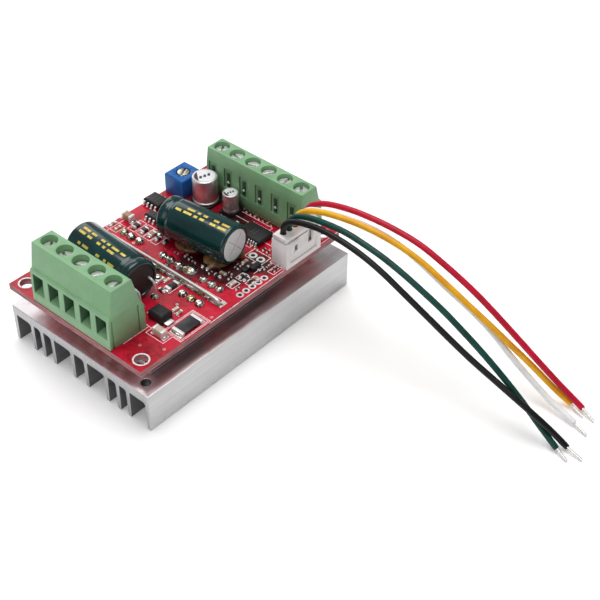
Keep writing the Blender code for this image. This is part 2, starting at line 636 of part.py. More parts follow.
def build_can(name, middle, radius, height, base_side, aluminium):
    """Upright can on a square moulded base with two corners cut off."""
    half = base_side / 2
    cut = half - CAN_BASE_CHAMFER
    base = [(-half, -cut), (-cut, -half), (half, -half), (half, half), (-cut, half), (-half, cut)]
    bm = bmesh.new()
    prism(bm, base, 0, CAN_BASE_HEIGHT, "Z")
    can = add_object(name, finish_mesh(name, bm), aluminium, (*middle, SEAT))
    shell = bmesh.new()
    rim = radius / 12
    turned(shell, (
        (radius, CAN_BASE_HEIGHT / 2),
        (radius, height - SEAT_GAP - rim),
        (radius - rim, height - SEAT_GAP),
    ))
    combine(can, shell, "UNION", "shell")


def build_trimmer(plastic, metal):
    """Square trimmer with a slotted rotor that turns in a round recess."""
    recess_radius = ROTOR_RADIUS + SIDE_GAP
    bm = bmesh.new()
    block(bm, TRIMMER_SIZE, SEAT_GAP)
    body = add_object("trimmer_body", finish_mesh("trimmer_body", bm), plastic, (*TRIMMER_CENTRE, SEAT))
    recess = bmesh.new()
    floor = TRIMMER_SIZE[2] - TRIMMER_RECESS_DEPTH
    turned(recess, ((recess_radius, floor), (recess_radius, TRIMMER_SIZE[2] + MM)))
    combine(body, recess, "DIFFERENCE", "recess")
    rotor_mesh = slotted_screw_mesh(
        "trimmer_rotor", ROTOR_RADIUS, ROTOR_HEIGHT, ROTOR_SLOT_WIDTH, ROTOR_SLOT_DEPTH, 0, ROTOR_HEIGHT,
    )
    rotor_top = SEAT + floor + SEAT_GAP + ROTOR_HEIGHT
    add_object("trimmer_rotor", rotor_mesh, metal, (*TRIMMER_CENTRE, rotor_top), math.radians(ROTOR_TURN))


def build_chip(name, middle, size, legs, pitch, plastic):
    """Moulded chip with bent legs along its two X sides."""
    length, width, thickness = size
    bm = bmesh.new()
    block(bm, (length, width, thickness - SEAT_GAP), CHIP_CHAMFER, SEAT_GAP)
    chip = add_object(name, finish_mesh(name, bm), plastic, (*middle, SEAT))
    comb = bmesh.new()
    knee = length / 2 + LEG_REACH / 2
    foot = length / 2 + LEG_REACH
    shoulder = thickness / 2
    for side in (-1, 1):
        outline = [
            (side * (length / 2 - LEG_THICKNESS), shoulder),
            (side * (length / 2 - LEG_THICKNESS), shoulder + LEG_THICKNESS),
            (side * knee, shoulder + LEG_THICKNESS),
            (side * (knee + LEG_THICKNESS), LEG_THICKNESS),
            (side * foot, LEG_THICKNESS),
            (side * foot, 0),
            (side * (knee - LEG_THICKNESS / 2), 0),
            (side * (knee - LEG_THICKNESS), shoulder),
        ]
        for k in range(legs):
            y = (k - (legs - 1) / 2) * pitch
            half_leg = LEG_WIDTH_SHARE * pitch / 2
            prism(comb, outline, y - half_leg, y + half_leg, "Y")
    combine(chip, comb, "UNION", "legs")


def build_block_part(name, middle, size, chamfer, material):
    """Small rectangular part with a chamfered top."""
    bm = bmesh.new()
    block(bm, size, chamfer)
    return add_object(name, finish_mesh(name, bm), material, (*middle, SEAT))


def add_diode_tabs(diode, size):
    """Flat metal tabs at both ends of the diode, along Y."""
    tabs = bmesh.new()
    reach = size[1] / 2 + DIODE_TAB_REACH
    half = DIODE_TAB_WIDTH / 2
    lift = DIODE_TAB_THICKNESS / 4
    box(tabs, (-half, -reach, lift), (half, reach, lift + DIODE_TAB_THICKNESS))
    combine(diode, tabs, "UNION", "tabs")


def tube(name, points, radii, radius, material, resolution=2):
    """Round tube along a poly line, its radius scaled at each point."""
    curve = bpy.data.curves.new(name, "CURVE")
    curve.dimensions = "3D"
    curve.bevel_depth = radius
    curve.bevel_resolution = resolution
    curve.use_fill_caps = True
    spline = curve.splines.new("POLY")
    spline.points.add(len(points) - 1)
    for spot, point, scale in zip(spline.points, points, radii):
        spot.co = (*point, 1.0)
        spot.radius = scale
    obj = bpy.data.objects.new(name, curve)
    curve.materials.append(material)
    bpy.context.scene.collection.objects.link(obj)
    return obj


def build_bus_bar(tin):
    """Tinned wire bridge above the board, both ends turned down towards it."""
    z = BOARD_TOP + BUS_LIFT
    foot = SEAT + BUS_RADIUS / 2
    front, back = BUS_ENDS
    bend = BUS_CORNER * (1 - math.sqrt(0.5))
    points = [
        (BUS_X, front, foot),
        (BUS_X, front + bend, z - bend),
        (BUS_X, front + BUS_CORNER, z),
        (BUS_X, back - BUS_CORNER, z),
        (BUS_X, back - bend, z - bend),
        (BUS_X, back, foot),
    ]
    tube("bus_bar", points, [1.0] * len(points), BUS_RADIUS, tin)


def fixing_places():
    """Number and place of each transistor's screw."""
    places = []
    for lead_x, way in TRANSISTOR_ROWS:
        hole_x = lead_x + way * (LEAD_REACH + TRANSISTOR_BODY + TRANSISTOR_TAB - TAB_HOLE_INSET)
        for y in TRANSISTOR_Y:
            places.append((len(places) + 1, hole_x, y))
    return places


def build_transistor(name, lead_x, way, y, epoxy):
    """Transistor on its back: moulded body, thin tab with a hole, three leads bent up through the board."""
    half = TRANSISTOR_WIDTH / 2
    near = LEAD_REACH
    far = near + TRANSISTOR_BODY
    end = far + TRANSISTOR_TAB
    outline = [
        (way * near, 0),
        (way * end, 0),
        (way * end, TAB_THICKNESS),
        (way * far, TAB_THICKNESS),
        (way * far, TRANSISTOR_THICKNESS),
        (way * near, TRANSISTOR_THICKNESS),
    ]
    bm = bmesh.new()
    prism(bm, outline, -half, half, "Y")
    body = add_object(name, finish_mesh(name, bm), epoxy, (lead_x, y, TRANSISTOR_BOTTOM))
    leads = bmesh.new()
    tip = BOARD_TOP + LEAD_STANDS_OUT - TRANSISTOR_BOTTOM
    half_lead = LEAD_THICKNESS / 2
    bent = [
        (way * (near + half_lead), LEAD_LIFT),
        (way * (near + half_lead), LEAD_LIFT + LEAD_THICKNESS),
        (way * half_lead, LEAD_LIFT + LEAD_THICKNESS),
        (way * half_lead, tip),
        (-way * half_lead, tip),
        (-way * half_lead, LEAD_LIFT),
    ]
    for k in (-1, 0, 1):
        middle = k * LEAD_PITCH
        prism(leads, bent, middle - LEAD_WIDTH / 2, middle + LEAD_WIDTH / 2, "Y")
    combine(body, leads, "UNION", "leads")
    hole = bmesh.new()
    walls = ((FIXING_CLEAR_RADIUS, -MM), (FIXING_CLEAR_RADIUS, TRANSISTOR_THICKNESS))
    turned(hole, walls, SMALL_ROUND_SIDES, (way * (end - TAB_HOLE_INSET), 0))
    combine(body, hole, "DIFFERENCE", "hole")


def build_power_stage(epoxy, steel, silicone):
    """Six transistors, their screws and the insulating sheet under them."""
    number = 0
    for lead_x, way in TRANSISTOR_ROWS:
        for y in TRANSISTOR_Y:
            number += 1
            build_transistor(f"mosfet_{number}", lead_x, way, y, epoxy)
    head_top = TRANSISTOR_BOTTOM + TAB_THICKNESS + SEAT_GAP + FIXING_HEAD_HEIGHT
    tip = SINK_HEIGHT - FIXING_HOLE_DEPTH + SIDE_GAP
    screw_mesh = slotted_screw_mesh(
        "mosfet_screw", FIXING_HEAD_RADIUS, FIXING_HEAD_HEIGHT, SCREW_SLOT_WIDTH, SCREW_SLOT_DEPTH,
        FIXING_SHANK_RADIUS, head_top - tip,
    )
    for number, x, y in fixing_places():
        turn = math.radians(SCREW_TURN_STEP * number)
        add_object(f"mosfet_screw_{number}", screw_mesh, steel, (x, y, head_top), turn)
    reach = LEAD_REACH + TRANSISTOR_BODY + TRANSISTOR_TAB + PAD_MARGIN
    half_width = TRANSISTOR_PITCH + TRANSISTOR_WIDTH / 2 + PAD_MARGIN
    ends = sorted(lead_x + way * reach for lead_x, way in TRANSISTOR_ROWS)
    bm = bmesh.new()
    box(
        bm,
        (ends[0], TRANSISTOR_MIDDLE_Y - half_width, PAD_BOTTOM),
        (ends[1], TRANSISTOR_MIDDLE_Y + half_width, PAD_BOTTOM + PAD_THICKNESS),
    )
    pad = add_object("insulating_pad", finish_mesh("insulating_pad", bm), silicone)
    holes = bmesh.new()
    for _, x, y in fixing_places():
        walls = ((FIXING_CLEAR_RADIUS, PAD_BOTTOM - MM), (FIXING_CLEAR_RADIUS, PAD_BOTTOM + MM))
        turned(holes, walls, SMALL_ROUND_SIDES, (x, y))
    combine(pad, holes, "DIFFERENCE", "holes")


def smooth_curve(route, steps=12):
    """Centripetal Catmull-Rom curve through the route's points, as many short steps."""
    route = np.array(route, float)
    spots = np.vstack([2 * route[0] - route[1], route, 2 * route[-1] - route[-2]])
    knots = np.concatenate([[0], np.cumsum(np.sqrt(np.linalg.norm(np.diff(spots, axis=0), axis=1)))])
    pieces = []
    for k in range(1, len(spots) - 2):
        t0, t1, t2, t3 = knots[k - 1:k + 3]
        p0, p1, p2, p3 = spots[k - 1:k + 3]
        t = np.linspace(t1, t2, steps, endpoint=False)[:, None]
        a1 = (p0 * (t1 - t) + p1 * (t - t0)) / (t1 - t0)
        a2 = (p1 * (t2 - t) + p2 * (t - t1)) / (t2 - t1)
        a3 = (p2 * (t3 - t) + p3 * (t - t2)) / (t3 - t2)
        b1 = (a1 * (t2 - t) + a2 * (t - t0)) / (t2 - t0)
        b2 = (a2 * (t3 - t) + a3 * (t - t1)) / (t3 - t1)
        pieces.append((b1 * (t2 - t) + b2 * (t - t1)) / (t2 - t1))
    return np.vstack(pieces + [route[-1:]])


def evenly_spaced(curve, step):
    """Points along a curve at equal distances of about one step."""
    travelled = np.concatenate([[0], np.cumsum(np.linalg.norm(np.diff(curve, axis=0), axis=1))])
    count = max(2, round(travelled[-1] / step) + 1)
    marks = np.linspace(0, travelled[-1], count)
    return np.stack([np.interp(marks, travelled, curve[:, k]) for k in range(3)], axis=1)


def build_wires(colours):
    """Sensor wires: insulated along the route, then a short straight bare tip.

    The middle wire starts over the plug's middle, and the others beside it. Where the plug stands elsewhere,
    the routes follow it fully at the plug and less and less towards the ends, which stay on the table.
    """
    plug_top = SEAT + HEADER_HEIGHT + SEAT_GAP + PLUG_FLANGE
    exit_point = np.array((HEADER_X, HEADER_Y + WIRE_EXIT_SHIFT, plug_top + SIDE_GAP))
    shift = exit_point - np.array(WIRE_ROUTES_MM["hall_wire_yellow"][0]) * MM
    for name, route in WIRE_ROUTES_MM.items():
        follow = np.linspace(1, 0, len(route))[:, None]
        route = np.array(route) * MM + shift * follow
        sleeve = evenly_spaced(smooth_curve(route[:-1]), WIRE_POINT_STEP)
        bare = route[-1] - sleeve[-1]
        points = list(sleeve) + [sleeve[-1] + bare * (TIP_STEP / np.linalg.norm(bare)), route[-1]]
        tip_scale = TIP_RADIUS / WIRE_RADIUS
        radii = [1.0] * len(sleeve) + [tip_scale, tip_scale]
        tube(name, points, radii, WIRE_RADIUS, colours[name])


def main():
    clear_scene()
    green = make_material("green_plastic", (0.20, 0.45, 0.24), 0.45)
    steel = make_material("steel", (0.62, 0.62, 0.60), 0.35, 1.0)
    brass = make_material("brass", (0.60, 0.50, 0.30), 0.35, 1.0)
    aluminium = make_material("aluminium", (0.75, 0.75, 0.76), 0.35, 1.0)
    red_board = make_material("red_board", (0.55, 0.03, 0.05), 0.35)
    white = make_material("white_plastic", (0.82, 0.82, 0.80), 0.45)
    sleeve = make_material("teal_sleeve", (0.01, 0.12, 0.12), 0.3)
    black = make_material("black_epoxy", (0.02, 0.02, 0.02), 0.5)
    blue = make_material("blue_plastic", (0.02, 0.16, 0.48), 0.4)
    ceramic = make_material("ceramic", (0.45, 0.30, 0.18), 0.5)
    tin = make_material("tin", (0.75, 0.75, 0.72), 0.25, 1.0)
    silicone = make_material("silicone", (0.45, 0.47, 0.50), 0.7)

    build_heatsink(aluminium)
    build_board(red_board)
    build_power_stage(black, steel, silicone)
    build_terminal(
        "power_terminal", POWER_X, POWER_POLE_Y, -1, POWER_PROFILE, POWER_HEIGHT, POWER_SCREW_DROP,
        (POWER_ENTRY_BOTTOM, POWER_ENTRY_TOP), POWER_CAVITY_BOTTOM, POWER_CLAMP_HEIGHT,
        POWER_GROOVES, False, green, steel, brass,
    )
    build_terminal(
        "control_terminal", CONTROL_X, CONTROL_POLE_Y, 1, CONTROL_PROFILE, CONTROL_HEIGHT,
        CONTROL_SCREW_DROP, (CONTROL_ENTRY_BOTTOM, CONTROL_ENTRY_TOP), CONTROL_CAVITY_BOTTOM,
        CONTROL_CLAMP_HEIGHT, (), True, green, steel, brass,
    )
    build_header_and_plug(white)
    build_capacitor("bulk_capacitor_left", *LEFT_CAPACITOR_ENDS, sleeve)
    build_capacitor("bulk_capacitor_right", *RIGHT_CAPACITOR_ENDS, sleeve)
    for name, (middle, radius, height, side) in CANS.items():
        build_can(name, middle, radius, height, side, aluminium)
    build_trimmer(blue, brass)
    for name, (middle, size, legs, pitch) in CHIPS.items():
        build_chip(name, middle, size, legs, pitch, black)
    block_materials = {"supply_diode": black, "current_shunt": black}
    for name, (middle, size, chamfer) in BLOCKS.items():
        part = build_block_part(name, middle, size, chamfer, block_materials.get(name, ceramic))
        if name == "supply_diode":
            add_diode_tabs(part, size)
    build_bus_bar(tin)
    build_wires({
        "hall_wire_black": make_material("black_insulation", (0.02, 0.02, 0.02), 0.4),
        "hall_wire_green": make_material("green_insulation", (0.0, 0.12, 0.08), 0.4),
        "hall_wire_yellow": make_material("yellow_insulation", (0.85, 0.50, 0.03), 0.4),
        "hall_wire_white": make_material("white_insulation", (0.85, 0.85, 0.85), 0.4),
        "hall_wire_red": make_material("red_insulation", (0.60, 0.02, 0.05), 0.4),
    })


main()
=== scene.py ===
"""Looks of a three-phase motor driver module: board, heatsink, terminals, capacitors and sensor lead.

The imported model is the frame, and every piece stands where its solid stands. Units are metres, and MM
turns millimetres into them. +X runs from the power terminal to the control terminal, and -Y is the edge
that the sensor lead leaves by.
"""

import math

import bmesh
import bpy
import numpy as np
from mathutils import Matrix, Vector


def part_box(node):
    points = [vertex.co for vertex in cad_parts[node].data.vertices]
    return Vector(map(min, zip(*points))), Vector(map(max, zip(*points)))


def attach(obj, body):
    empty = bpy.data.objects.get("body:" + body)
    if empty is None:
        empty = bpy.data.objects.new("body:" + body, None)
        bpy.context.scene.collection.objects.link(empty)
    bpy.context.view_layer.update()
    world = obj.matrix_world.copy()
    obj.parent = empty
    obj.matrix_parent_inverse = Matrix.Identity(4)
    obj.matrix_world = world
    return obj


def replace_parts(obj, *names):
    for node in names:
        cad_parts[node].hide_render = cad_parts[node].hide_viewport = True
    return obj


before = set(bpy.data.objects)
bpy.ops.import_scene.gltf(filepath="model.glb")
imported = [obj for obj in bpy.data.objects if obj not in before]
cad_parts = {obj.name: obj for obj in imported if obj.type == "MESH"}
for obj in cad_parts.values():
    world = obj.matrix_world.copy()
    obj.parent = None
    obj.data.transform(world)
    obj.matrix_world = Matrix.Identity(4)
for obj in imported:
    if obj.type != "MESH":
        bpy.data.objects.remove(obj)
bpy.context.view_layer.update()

# --------------------------------------
# The view: a long lens over the power terminal's front corner, a plain white table, and soft light
# from a wide ceiling panel and two side panels.
# --------------------------------------
MM = 0.001

camera = bpy.data.objects.new("camera", bpy.data.cameras.new("camera"))
bpy.context.scene.collection.objects.link(camera)
camera.location = (-149.02 * MM, -164.57 * MM, 192.51 * MM)
camera.rotation_euler = [math.radians(angle) for angle in (49.409, -0.546, -48.712)]
camera.data.lens = 73.17
camera.data.sensor_width = 36
camera.data.clip_start = 10 * MM
bpy.context.scene.camera = camera

TABLE_HALF = 2.0
TABLE_LEVEL = -0.05 * MM
table_mesh = bpy.data.meshes.new("table")
table_corners = [
    (-TABLE_HALF, -TABLE_HALF), (TABLE_HALF, -TABLE_HALF), (TABLE_HALF, TABLE_HALF), (-TABLE_HALF, TABLE_HALF)
]
table_mesh.from_pydata([(x, y, TABLE_LEVEL) for x, y in table_corners], [], [(0, 1, 2, 3)])
table = bpy.data.objects.new("table", table_mesh)
bpy.context.scene.collection.objects.link(table)

world = bpy.data.worlds.new("studio")
world.use_nodes = True
world.node_tree.nodes["Background"].inputs["Color"].default_value = (1.0, 1.0, 1.0, 1.0)
world.node_tree.nodes["Background"].inputs["Strength"].default_value = 0.27
bpy.context.scene.world = world
bpy.context.scene.view_settings.view_transform = "Standard"


def panel_light(name, place, aim, size, power):
    """Square area light at a place, turned so that it faces a point."""
    data = bpy.data.lights.new(name, "AREA")
    data.size = size
    data.energy = power
    light = bpy.data.objects.new(name, data)
    bpy.context.scene.collection.objects.link(light)
    light.location = place
    direction = np.array(aim, float) - np.array(place, float)
    light.rotation_mode = "QUATERNION"
    light.rotation_quaternion = Vector(direction).to_track_quat("-Z", "Y")


panel_light("ceiling_panel", (0.05, 0.05, 0.75), (0, -0.02, 0), 0.6, 4.7)
panel_light("left_panel", (-0.7, -0.1, 0.45), (0, 0, 0.02), 0.5, 1.0)
panel_light("back_panel", (0.25, 0.65, 0.35), (0, 0, 0.02), 0.5, 1.4)


# --------------------------------------
# Finishes: each is a principled shader whose patterns are written as arithmetic on sockets.
# --------------------------------------
class Value:
    """A number in shader arithmetic: + and * on it add the Math nodes."""

    def __init__(self, finish, socket):
        self.finish = finish
        self.socket = socket

    def maths(self, operation, first, second):
        return self.finish.add("ShaderNodeMath", {"operation": operation}, {0: first, 1: second})

    def __add__(self, other):
        return self.maths("ADD", self, other)

    def __mul__(self, other):
        return self.maths("MULTIPLY", self, other)


class Finish:
    """A material being put together. Constants go straight onto the shader's own sockets."""

    def __init__(self, name, **constants):
        self.material = bpy.data.materials.new(name)
        self.material.use_nodes = True
        self.tree = self.material.node_tree
        self.shader = self.tree.nodes["Principled BSDF"]
        for socket, value in constants.items():
            self.shader.inputs[socket.replace("_", " ")].default_value = value

    def add(self, kind, settings=None, sockets=None, output=0):
        """A node of that type: its settings first, then its sockets. Gives back one of its outputs."""
        node = self.tree.nodes.new(kind)
        for key, value in (settings or {}).items():
            if key == "stops":
                while len(node.color_ramp.elements) < len(value):
                    node.color_ramp.elements.new(1.0)
                for element, (place, colour) in zip(node.color_ramp.elements, value):
                    element.position = place
                    element.color = (*colour, 1.0)
            else:
                setattr(node, key, value)
        for key, value in (sockets or {}).items():
            self.join(value, node.inputs[key])
        return Value(self, node.outputs[output])

    def join(self, value, socket):
        if isinstance(value, Value):
            self.tree.links.new(value.socket, socket)
        else:
            socket.default_value = value

    def place(self, stretch=(1, 1, 1)):
        """Object coordinates in metres, each axis multiplied by its stretch."""
        spot = self.add("ShaderNodeTexCoord", output="Object")
        return self.add("ShaderNodeMapping", {}, {"Vector": spot, "Scale": stretch})

    def noise(self, scale, detail=2.0, stretch=(1, 1, 1)):
        """Smooth noise about 0.5, its grains one metre over the scale across."""
        sockets = {"Vector": self.place(stretch), "Scale": scale, "Detail": detail, "Roughness": 0.55}
        return self.add("ShaderNodeTexNoise", {}, sockets)

    def cells(self, scale):
        """Distance to the nearest edge between the cells of scattered points."""
        sockets = {"Vector": self.place(), "Scale": scale}
        return self.add("ShaderNodeTexVoronoi", {"feature": "DISTANCE_TO_EDGE"}, sockets)

    def spread(self, value, low, high, to_low=0.0, to_high=1.0):
        """The value between low and high carried over to another range, held at its ends."""
        sockets = {0: value, 1: low, 2: high, 3: to_low, 4: to_high}
        return self.add("ShaderNodeMapRange", {"clamp": True}, sockets)

    def mix(self, share, first, second):
        """Two colours mixed by a share from 0 to 1."""
        first, second = (c if isinstance(c, Value) else (*c, 1.0) for c in (first, second))
        return self.add("ShaderNodeMix", {"data_type": "RGBA"}, {0: share, 6: first, 7: second}, 2)

    def tones(self, pattern, dark, light, low=0.35, high=0.65):
        """Two colours blended by a pattern: dark below its low value, light above its high one."""
        return self.mix(self.spread(pattern, low, high), dark, light)

    def bump(self, height, depth, strength=1.0):
        """Relief from a height of 0 to 1, its depth in metres, on the shader's normal."""
        sockets = {"Height": height, "Distance": depth, "Strength": strength}
        self.join(self.add("ShaderNodeBump", {}, sockets), self.shader.inputs["Normal"])

    def wear(self, **sockets):
        """Joins what changes over the surface to the shader: Base_Color, Roughness, Metallic and so on."""
        for socket, value in sockets.items():
            self.join(value, self.shader.inputs[socket.replace("_", " ")])
        return self


def moulded(name, colour, dark, roughness=0.45, grain=0.02 * MM, grain_scale=4000, **constants):
    """Moulded plastic: slow mottling between two tones, a fine spark-eroded grain, uneven gloss."""
    finish = Finish(name, **constants)
    tone = finish.noise(220, 3.0)
    fine = finish.noise(grain_scale, 2.0)
    share = finish.spread(tone * 0.7 + fine * 0.3, 0.35, 0.65)
    finish.bump(fine, grain, 0.5)
    return finish.wear(
        Base_Color=finish.mix(share, dark, colour),
        Roughness=finish.spread(tone, 0.3, 0.7, roughness - 0.06, roughness + 0.08),
    )


def metal(name, colour, dark, roughness=0.3, streak=(1, 1, 1), scale=1200, relief=0.01 * MM, metallic=1.0):
    """Bare metal: streaks along one way of working, duller patches where it has been handled."""
    finish = Finish(name, Metallic=metallic)
    streaks = finish.noise(scale, 4.0, streak)
    patches = finish.noise(160, 3.0)
    finish.bump(streaks, relief, 0.6)
    return finish.wear(
        Base_Color=finish.tones(streaks * 0.6 + patches * 0.4, dark, colour),
        Roughness=finish.spread(streaks * 0.5 + patches * 0.5, 0.3, 0.7, roughness - 0.08, roughness + 0.1),
    )


table_finish = Finish("white_table", Roughness=0.9, Emission_Color=(1, 1, 1, 1), Emission_Strength=0.16)
table_finish.wear(
    Base_Color=table_finish.mix(table_finish.noise(6, 2.0), (0.93, 0.93, 0.93), (0.96, 0.96, 0.96))
)
table_mesh.materials.append(table_finish.material)


# --------------------------------------
# Sensor lead: five loose PVC-covered wires of 1.4 mm with stripped, twisted and tinned ends. They
# rise out of the plug, bend over its front and fall to the table in long loose curves.
# --------------------------------------
WIRE_RADIUS = 0.7 * MM
STRAND_RADIUS = 0.105 * MM
STRAND_ORBIT = 0.195 * MM
STRAND_TWIST = 2.6 * MM          # length of one turn of the strands
WIRE_STEP = 0.8 * MM
WIRE_COLOURS = {
    "black": ((0.0035, 0.0035, 0.004), (0.0015, 0.0015, 0.002)),
    "green": ((0.0, 0.060, 0.044), (0.0, 0.038, 0.028)),
    "yellow": ((0.90, 0.47, 0.015), (0.80, 0.36, 0.01)),
    "white": ((0.88, 0.88, 0.88), (0.78, 0.78, 0.79)),
    "red": ((0.60, 0.004, 0.035), (0.47, 0.003, 0.025)),
}
# Route points in millimetres; the last is the end of the bare tip, the one before it the insulation's end
WIRE_ROUTES_MM = {
    "black": (
        (14.1, -18.4, 25.0), (14.1, -18.6, 26.6), (14.2, -19.5, 28.1), (14.3, -20.9, 29.0),
        (14.6, -23.3, 29.7), (15.2, -28.6, 30.2), (15.7, -34.0, 29.6), (16.2, -39.5, 28.2),
        (16.6, -44.9, 26.1), (17.0, -50.4, 23.3), (17.5, -56.4, 20.1), (18.0, -62.8, 16.7),
        (18.4, -68.3, 14.0), (18.9, -74.0, 11.5), (19.3, -79.9, 9.1), (20.2, -85.6, 6.1), (21.2, -89.2, 3.4),
        (22.0, -92.3, 0.9), (21.4, -96.3, 0.4),
    ),
    "green": (
        (16.1, -18.4, 25.0), (16.1, -18.6, 26.8), (16.1, -19.6, 28.5), (16.2, -21.3, 29.7),
        (16.4, -24.6, 30.7), (16.7, -30.2, 31.3), (17.0, -34.3, 31.2), (17.3, -38.4, 30.5),
        (17.8, -43.7, 29.1), (18.3, -49.0, 27.1), (18.8, -53.9, 24.8), (19.4, -59.7, 21.8),
        (19.8, -64.6, 18.9), (20.2, -69.3, 15.9), (20.5, -74.0, 12.7), (20.8, -78.1, 9.6), (20.9, -81.6, 6.9),
        (20.8, -85.1, 4.3), (20.2, -90.8, 0.9), (19.1, -94.0, 0.4),
    ),
    "yellow": (
        (18.1, -18.4, 25.0), (18.1, -18.6, 26.8), (18.3, -19.6, 28.5), (18.6, -21.4, 29.8),
        (19.4, -25.0, 30.9), (20.4, -30.1, 31.3), (21.5, -35.0, 31.0), (22.6, -39.9, 30.1),
        (23.8, -44.8, 28.5), (24.8, -49.3, 26.5), (26.2, -55.5, 22.6), (27.4, -60.7, 19.1),
        (28.7, -65.9, 15.5), (30.1, -71.2, 11.6), (31.4, -76.3, 7.9), (32.6, -81.7, 3.9), (33.7, -86.0, 0.9),
        (32.5, -89.7, 0.4),
    ),
    "white": (
        (20.1, -18.4, 25.0), (20.1, -18.6, 26.5), (20.3, -19.4, 27.8), (20.6, -20.8, 28.8),
        (21.4, -24.4, 29.6), (22.3, -28.6, 29.8), (23.5, -33.5, 29.5), (24.5, -38.5, 28.7),
        (25.5, -43.5, 27.0), (26.1, -47.8, 25.0), (27.4, -55.5, 20.3), (28.5, -60.6, 17.1),
        (29.3, -66.3, 13.3), (29.7, -71.9, 9.0), (30.0, -77.3, 5.4), (29.9, -82.9, 2.5), (29.2, -89.7, 0.9),
        (28.2, -93.3, 0.4),
    ),
    "red": (
        (22.1, -18.4, 25.0), (22.1, -18.6, 26.8), (22.3, -19.6, 28.5), (22.6, -21.3, 29.7),
        (23.1, -24.2, 30.7), (24.0, -30.0, 31.4), (24.8, -35.4, 31.3), (25.7, -40.6, 30.6),
        (26.8, -46.9, 29.0), (27.8, -53.3, 26.1), (29.0, -60.3, 22.1), (29.7, -64.8, 19.1),
        (30.8, -71.2, 14.3), (31.9, -77.9, 9.2), (32.9, -82.9, 5.3), (34.2, -88.7, 0.9), (32.9, -92.3, 0.4),
    ),
}


def smooth_curve(route, steps=12):
    """Centripetal Catmull-Rom curve through the route's points: each stretch is a blend of the lines
    through its neighbours, weighted by the square roots of the distances."""
    route = np.array(route, float)
    spots = np.vstack([2 * route[0] - route[1], route, 2 * route[-1] - route[-2]])
    knots = np.concatenate([[0], np.cumsum(np.sqrt(np.linalg.norm(np.diff(spots, axis=0), axis=1)))])
    pieces = []
    for k in range(1, len(spots) - 2):
        t0, t1, t2, t3 = knots[k - 1:k + 3]
        p0, p1, p2, p3 = spots[k - 1:k + 3]
        t = np.linspace(t1, t2, steps, endpoint=False)[:, None]
        a1 = (p0 * (t1 - t) + p1 * (t - t0)) / (t1 - t0)
        a2 = (p1 * (t2 - t) + p2 * (t - t1)) / (t2 - t1)
        a3 = (p2 * (t3 - t) + p3 * (t - t2)) / (t3 - t2)
        b1 = (a1 * (t2 - t) + a2 * (t - t0)) / (t2 - t0)
        b2 = (a2 * (t3 - t) + a3 * (t - t1)) / (t3 - t1)
        pieces.append((b1 * (t2 - t) + b2 * (t - t1)) / (t2 - t1))
    return np.vstack(pieces + [route[-1:]])


def evenly_spaced(curve, step):
    """Points along a curve at equal distances of about one step."""
    travelled = np.concatenate([[0], np.cumsum(np.linalg.norm(np.diff(curve, axis=0), axis=1))])
    marks = np.linspace(0, travelled[-1], max(2, round(travelled[-1] / step) + 1))
    return np.stack([np.interp(marks, travelled, curve[:, k]) for k in range(3)], axis=1)


def carried(points, across, up, side=(1, 0, 0)):
    """A cross section carried along a path: each point of the path gets the section's offsets, across
    along the side vector made square to the path, and up along the path's binormal."""
    points = np.array(points, float)
    way = np.gradient(points, axis=0)
    way /= np.linalg.norm(way, axis=1)[:, None]
    side = np.array(side, float) - (way @ np.array(side, float))[:, None] * way
    side /= np.linalg.norm(side, axis=1)[:, None]
    binormal = np.cross(side, way)
    across, up = (np.atleast_2d(offsets)[..., None] for offsets in (across, up))
    return points[:, None] + side[:, None] * across + binormal[:, None] * up


def skin(rings, caps=True):
    """Closed skin through rings of points, an array of (rings, points, 3), with its two ends capped."""
    rings = np.asarray(rings, float)
    count, around = rings.shape[:2]
    index = np.arange(count * around).reshape(count, around)
    turned_on = np.roll(index, -1, axis=1)
    faces = np.stack([index[:-1], turned_on[:-1], turned_on[1:], index[1:]], -1).reshape(-1, 4).tolist()
    if caps:
        faces += [index[0, ::-1].tolist(), index[-1].tolist()]
    return rings.reshape(-1, 3), faces


SHARP_EDGE = 35                 # degrees between two faces from which their edge stays sharp


def placed(name, bm, finishes, body, sharp):
    """The object made of a bmesh and its finishes, its edges sharp above an angle, riding on a body."""
    mesh = bpy.data.meshes.new(name)
    bm.to_mesh(mesh)
    bm.free()
    for finish in finishes:
        mesh.materials.append(finish.material)
    mesh.shade_smooth()
    mesh.set_sharp_from_angle(angle=math.radians(sharp))
    obj = bpy.data.objects.new(name, mesh)
    bpy.context.scene.collection.objects.link(obj)
    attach(obj, body)
    return obj


def piece(name, parts, body="driver", sharp=SHARP_EDGE):
    """One object from a list of (skin, finish) pairs, with its place in its mesh, riding on a body."""
    vertices, faces, finishes, slots = [], [], [], []
    offset = 0
    for (points, polygons), finish in parts:
        if finish not in finishes:
            finishes.append(finish)
        vertices.append(points)
        faces += [[offset + k for k in polygon] for polygon in polygons]
        slots += [finishes.index(finish)] * len(polygons)
        offset += len(points)
    draft = bpy.data.meshes.new(f"{name}_draft")
    draft.from_pydata(np.vstack(vertices).tolist(), [], faces)
    draft.polygons.foreach_set("material_index", slots)
    bm = bmesh.new()
    bm.from_mesh(draft)
    bpy.data.meshes.remove(draft)
    bmesh.ops.recalc_face_normals(bm, faces=bm.faces)
    return placed(name, bm, finishes, body, sharp)


def round_path(points, radius, sides=16, side=(1, 0, 0)):
    """Round bar of one radius, or of one radius for each point, along a path."""
    angles = np.linspace(0, 2 * math.pi, sides, endpoint=False)
    radii = np.broadcast_to(np.asarray(radius, float), (len(points),))[:, None]
    return carried(points, radii * np.cos(angles), radii * np.sin(angles), side)


